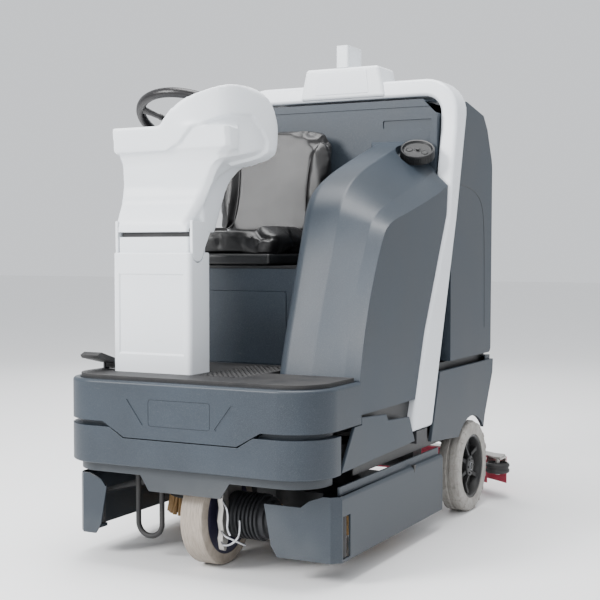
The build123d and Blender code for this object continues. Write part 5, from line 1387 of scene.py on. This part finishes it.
    def build(self) -> list[bpy.types.Object]:
        """Build the seat's soft pieces and their welts."""
        back, cushion = self.back(), self.cushion()
        bpy.context.view_layer.update()
        low, high = node_box("seat_back")
        middle, half = (low.x + high.x) / 2, (high.x - low.x) / 2 + self.wider
        skirt = Form()
        skirt.block((middle - 196, -344, 872), (middle + 196, -20, 908))
        skirt.soften(10.0, 3, 60)
        pieces = [back, cushion, skirt.finish("seat_base_skirt", "seat_frame", BLACK, False)]
        for side, tag in ((1, "left"), (-1, "right")):
            line = []
            for w, z in ((half - 30, 1300), (half - 56, 1290), (half - 76, 1236), (half - 84, 1120), (half - 80, 1040),
                         (half - 66, 1000), (half - 40, 984)):
                line.append((middle + side * w, self.lean(z) - 8, z))
            pieces.append(self.piping(back, f"back_welt_{tag}", "seat_back", line))
            low_c, high_c = node_box("seat_cushion")
            edge = high_c.x - 94 if side > 0 else low_c.x + 94
            line = [(edge, y, high_c.z) for y in (low_c.y + 30, low_c.y + 90, -180, -80, high_c.y - 60)]
            pieces.append(self.piping(cushion, f"cushion_welt_{tag}", "seat_cushion", line))
        return pieces


# ---------------------------------------------------------------- wheels and drive
@dataclass
class RearWheels:
    """Siped grey tyres on dished black rims."""

    lugs: int = 18

    @staticmethod
    def measure(side: int, tag: str) -> tuple[Matrix, float, float]:
        """One wheel's place with local Z outwards, its width and its radius."""
        low, high = node_box(f"rear_wheel_{tag}")
        centre = (low + high) / 2
        place = turned_to((side, 0, 0), (high.x if side < 0 else low.x, centre.y, centre.z))
        return place, high.x - low.x, (high.z - low.z) / 2

    def tyre(self, side: int, tag: str) -> bpy.types.Object:
        """One tyre, with a circumferential groove and notched shoulders."""
        place, width, radius = self.measure(side, tag)
        form = Form()
        rim = 112.0
        profile = [
            (rim, 2), (rim + 14, 0), (radius - 16, 0), (radius - 6, 3), (radius, 12), (radius, 33),
            (radius - 3, 35),
            (radius - 3, 43), (radius, 45), (radius, width - 12), (radius - 6, width - 3),
            (radius - 16, width),
            (rim + 14, width), (rim, width - 2)]
        form.turn(profile, place, self.lugs * 6)
        form.mesh.normal_update()
        inverse = place.inverted()
        picked = []
        for face in form.mesh.faces:
            local = inverse @ face.calc_center_median()
            reach = math.hypot(local.x, local.y)
            step = int((math.atan2(local.y, local.x) / (2 * math.pi) + 1.0) * self.lugs * 6 + 0.5) % 6
            if step == 0 and reach > radius - 17 and not 32 < local.z < 46:
                picked.append(face)
        bmesh.ops.inset_region(form.mesh, faces=picked, thickness=1.6, depth=-2.6)
        return form.finish(f"rear_tyre_{tag}", f"rear_wheel_{tag}", TYRE)

    def rim(self, side: int, tag: str) -> bpy.types.Object:
        """One rim: dished disc, spokes, hub and its bolts."""
        place, face, _ = self.measure(side, tag)
        form = Form()
        profile = [
            (15, face - 8), (30, face - 8), (36, face - 11), (38, face - 30), (62, face - 38),
            (94, face - 36),
            (99, face - 12), (104, face - 5), (112, face - 4), (112, 6), (100, 6), (98, 22),
            (36, 24), (34, 4), (15, 4)]
        form.turn(profile, place, 72)
        for index in range(6):
            turn = place @ Matrix.Rotation(math.radians(60 * index + 30), 4, "Z")
            form.sweep([
                [turn @ Vector((reach, y, z)) for y, z in (
                    (-half, face - 40), (half, face - 40), (half * 0.7, high_z), (-half * 0.7, high_z))]
                for reach, half,
                    high_z in ((34, 11, face - 14), (66, 8, face - 25), (98, 12, face - 16))])
            bolt = place @ Matrix.Rotation(math.radians(60 * index), 4, "Z") @ Matrix.Translation(
                (26, 0, face - 9)
            )
            form.drum(bolt, 4.0, 4.0, 6)
        form.turn(
            [(0, face - 3), (9, face - 3), (13, face - 6), (15, face - 14), (0, face - 14)], place,
            32, False
        )
        form.soften(1.4, 2, 35)
        return form.finish(f"rear_rim_{tag}", f"rear_wheel_{tag}", BLACK, False)

    def build(self) -> list[bpy.types.Object]:
        """Build both wheels and their axle."""
        pieces = []
        for side, tag in ((1, "left"), (-1, "right")):
            pieces += [self.tyre(side, tag), self.rim(side, tag)]
        return pieces + [Dress("rear_axle", BRIGHT, 1.0).build()]


@dataclass
class DriveUnit:
    """Front wheel, its cast fork, the ribbed motor and the wire clip at the wheel's side."""

    def wheel(self) -> list[bpy.types.Object]:
        """Tread and hub."""
        low, high = node_box("front_wheel")
        centre = (low + high) / 2
        radius, width = (high.z - low.z) / 2, high.x - low.x
        place = turned_to((1, 0, 0), (low.x, centre.y, centre.z))
        tread = Form()
        tread.turn(
            [(118, 0), (radius - 8, 0), (radius - 2, 3), (radius, 9), (radius, width - 9),
            (radius - 2, width - 3),
             (radius - 8, width), (118, width)], place, 120)
        hub = Form()
        hub.turn(
            [(14, 8), (46, 8), (50, 12), (90, 13), (94, 5), (106, 3), (118, 2), (118, width - 2),
            (106, width - 3),
             (94, width - 5), (90, width - 13), (50, width - 12), (46, width - 8), (14, width - 8)],
             place, 96)
        for index in range(6):
            bolt = place @ Matrix.Rotation(math.radians(60 * index), 4, "Z") @ Matrix.Translation(
                (32, 0, width - 10)
            )
            hub.drum(bolt, 6.0, 7.0, 6)
        return [
            tread.finish("drive_tread_ring", "front_wheel", TREAD, smooth=30),
            hub.finish("drive_hub", "front_wheel", HUB_SIDE, False),
        ]

    def motor(self) -> bpy.types.Object:
        """Ribbed motor body."""
        low, high = node_box("drive_motor")
        place = turned_to((1, 0, 0), (low.x, -640.0, 150.0))
        length = high.x - low.x
        profile = [(0, 0), (66, 0), (68, 3), (68, 24)]
        at = 30.0
        while at < length - 34:
            profile += [(60, at), (60, at + 3), (68, at + 5), (68, at + 11), (60, at + 13)]
            at += 13.0
        profile += [(62, length - 24), (60, length - 14), (50, length - 12), (48, length - 1),
            (44, length),
                    (0, length)]
        form = Form()
        form.turn(profile, place, 72, False)
        form.soften(1.2, 2, 40)
        return form.finish("motor_body", "drive_motor", MOTOR)

    def bracket(self) -> list[bpy.types.Object]:
        """Cast clamp ahead of the motor, and the bent wire clips on it."""
        low, _ = node_box("drive_motor")
        form = Form()
        outline = [
            (-722, 60), (-736, 66), (-744, 100), (-738, 120), (-746, 150), (-738, 184), (-744, 214),
            (-734, 240),
            (-712, 246), (-706, 200), (-712, 150), (-706, 100)]
        form.slab(outline, Axis.X, low.x + 2, low.x + 20)
        form.soften(3.0, 3, 30)
        pieces = [form.finish("motor_clamp", "drive_motor", CAST, False)]
        wires = (
            [(70, -736, 92), (82, -752, 84), (106, -754, 86), (124, -744, 100), (128, -728, 120),
            (118, -716, 150)],
            [(72, -738, 120), (88, -752, 110), (112, -750, 104), (132, -738, 92), (140, -722, 84)],
            [(78, -740, 208), (96, -748, 190), (98, -746, 160), (92, -744, 130), (104, -744, 112)],
        )
        for index, line in enumerate(wires):
            wire = tube(f"clamp_wire_{index + 1}", line, 3.2, 3)
            pieces.append(settle(wire, "drive_motor", BRIGHT, False))
        return pieces

    def build(self) -> list[bpy.types.Object]:
        """Build the drive unit."""
        return [
            *self.wheel(), self.motor(), *self.bracket(),
            Dress("front_fork", CAST, 3.0, 3).build(), Dress("steer_bearing", BRIGHT, 1.0).build(),
        ]


# ---------------------------------------------------------------- deck, skirts and squeegee
@dataclass
class Deck:
    """Scrub deck with its motors, lift arms and two disc brushes of tufts."""

    rings: tuple[tuple[float, int], ...] = ((186.0, 54), (166.0, 48), (146.0, 42), (126.0, 36))
    seed: int = 7

    def brush(self, tag: str) -> list[bpy.types.Object]:
        """One brush: a ribbed disc and its splayed tufts."""
        low, high = node_box(f"brush_{tag}")
        x, y = (low.x + high.x) / 2, (low.y + high.y) / 2
        disc = Form()
        disc.turn(
            [(0, 178), (42, 178), (44, 146), (150, 144), (190, 136), (193, 130), (193, 122), (0, 122)],
            Matrix.Translation((x, y, 0)), 72, False)
        disc.drum(Matrix.Translation((x, y, 170)), 12.0, high.z - 170, 24)
        disc.soften(1.2, 2, 40)
        tufts = Form()
        chance = random.Random(self.seed)
        for radius, count in self.rings:
            for index in range(count):
                turn = ROUND * index / count + chance.uniform(-0.02, 0.02)
                splay = math.radians(chance.uniform(2, 9))
                place = Matrix.Translation((x, y, 124)) @ Matrix.Rotation(turn, 4, "Z")
                place = place @ Matrix.Translation((radius - 6, 0, 0)) @ Matrix.Rotation(
                    math.pi - splay, 4, "Y"
                )
                tufts.drum(place, 4.6, 62.0, 6, 7.4)
        return [
            disc.finish(f"brush_disc_{tag}", f"brush_{tag}", BLACK),
            tufts.finish(f"brush_tufts_{tag}", f"brush_{tag}", BRISTLE, False, outwards=True),
        ]

    def build(self) -> list[bpy.types.Object]:
        """Build the deck."""
        return [
            *self.brush("left"), *self.brush("right"), Dress("deck_plate", STEEL, 0.8).build(),
            Dress("deck_lift_arms", STEEL, 1.0).build(), Dress("brush_motors", MOTOR, 1.5).build(),
        ]


@dataclass
class Skirts:
    """Gate-like side skirts with a rounded ridge, their corner rollers and latches."""

    def build(self) -> list[bpy.types.Object]:
        """Build the skirts."""
        pieces = []
        for side, tag in ((1, "left"), (-1, "right")):
            def ridge(edge: bmesh.types.BMEdge, side: int = side) -> bool:
                """The outer top edge of the lower wall."""
                return all(side * v.co.x > 439 and v.co.z > 240 for v in edge.verts)

            pieces.append(Dress(f"skirt_{tag}", BODY, 1.3, 3, ((12.0, ridge),)).build())
            pieces.append(Dress(f"skirt_roller_{tag}", RUBBER, 2.0, 3).build())
            latch = Form()
            latch.slab(
                [(-196, 252), (-176, 252), (-182, 236), (-190, 228)], Axis.X, side * 432, side * 441.0
            )
            latch.soften(1.2, 2)
            pieces.append(latch.finish(f"skirt_latch_{tag}", f"skirt_{tag}", BLACK, False))
        return pieces


@dataclass
class Squeegee:
    """Trailing squeegee: holder, red blades, end rollers, knobs and the suction hose."""

    def roller(self, tag: str) -> bpy.types.Object:
        """One end roller: grooved edge and a dished top with spokes."""
        low, high = node_box(f"squeegee_roller_{tag}")
        centre = (low + high) / 2
        radius, height = (high.x - low.x) / 2, high.z - low.z
        place = Matrix.Translation((centre.x, centre.y, low.z))
        form = Form()
        form.turn(
            [(9, 2), (14, 2), (16, 6), (34, 6), (36, 0), (radius - 4, 0), (radius, 5), (radius, 12),
            (radius - 3, 14),
             (radius - 3, 22), (radius, 24), (radius, height - 5), (radius - 4, height), (36, height),
             (34, height - 6), (16, height - 6), (14, height - 1), (9, height - 1)], place, 48)
        for index in range(5):
            turn = place @ Matrix.Rotation(math.radians(72 * index), 4, "Z")
            form.sweep([
                [
                    turn @ Vector((reach, y, z)) for y, z in (
                        (-3, 8), (3, 8), (3, height - 2.5), (-3, height - 2.5)
                    )
                ]
                for reach in (12, 36)])
        form.soften(0.9, 2, 40)
        return form.finish(f"roller_{tag}", f"squeegee_roller_{tag}", RUBBER)

    def hose(self) -> bpy.types.Object:
        """The ribbed hose from the squeegee to the tank."""
        return Dress("suction_hose", HOSE, 0.0).build()

    def build(self) -> list[bpy.types.Object]:
        """Build the squeegee."""
        return [
            self.roller("left"), self.roller("right"), self.hose(),
            Dress("squeegee_holder", CAST, 0.9).build(), Dress("squeegee_blades", BLADE, 0.8).build(),
            Dress("squeegee_knobs", BLACK, 2.5, 3).build(),
                Dress("squeegee_lift_arms", STEEL, 1.0).build(),
        ]


@dataclass
class Chassis:
    """Welded frame and the works under the covers."""

    def build(self) -> list[bpy.types.Object]:
        """Build the frame."""
        return [
            Dress("chassis_frame", STEEL, 1.2).build(), Dress("suction_motor", BLACK, 2.0, 3).build(),
            Dress("cable_loop", RUBBER, 0.0).build(), self.shade_panels(),
        ]

    def shade_panels(self) -> bpy.types.Object:
        """Black panels that stand in for the shade inside the body under the tanks, closing the view there."""
        form = Form()
        for side in (-1, 1):
            form.block((side * 400 - 2, -560, 278), (side * 400 + 2, 180, 542))
            form.block((side * 396 - 2, 180, 420), (side * 396 + 2, 596, 542))
        form.block((-394, 592, 440), (394, 596, 542))
        form.block((-390, -100, 536), (390, 590, 540))
        # Painted shade: these black sheets sit where the inside under the tanks is only in shade.
        return form.finish("inner_shade_panels", "chassis_frame", BLACK, False)


def report(part: object, pieces: Iterable[bpy.types.Object]) -> None:
    """Log each piece of a sub-assembly."""
    for piece in pieces:
        log.info("%s: %s, %d faces", type(part).__name__, piece.name, len(piece.data.polygons))


def main() -> None:
    """Build the scene in order."""
    logging.basicConfig(level=logging.INFO, format="%(message)s")
    for part in (
        Studio(), Column(), Console(), SteeringWheel(), Bumper(), SolutionTank(), RecoveryTank(),
            Hoop(),
        SideCovers(), Seat(), RearWheels(), DriveUnit(), Deck(), Skirts(), Squeegee(), Chassis(),
    ):
        report(part, part.build())


if __name__ == "__main__":
    main()
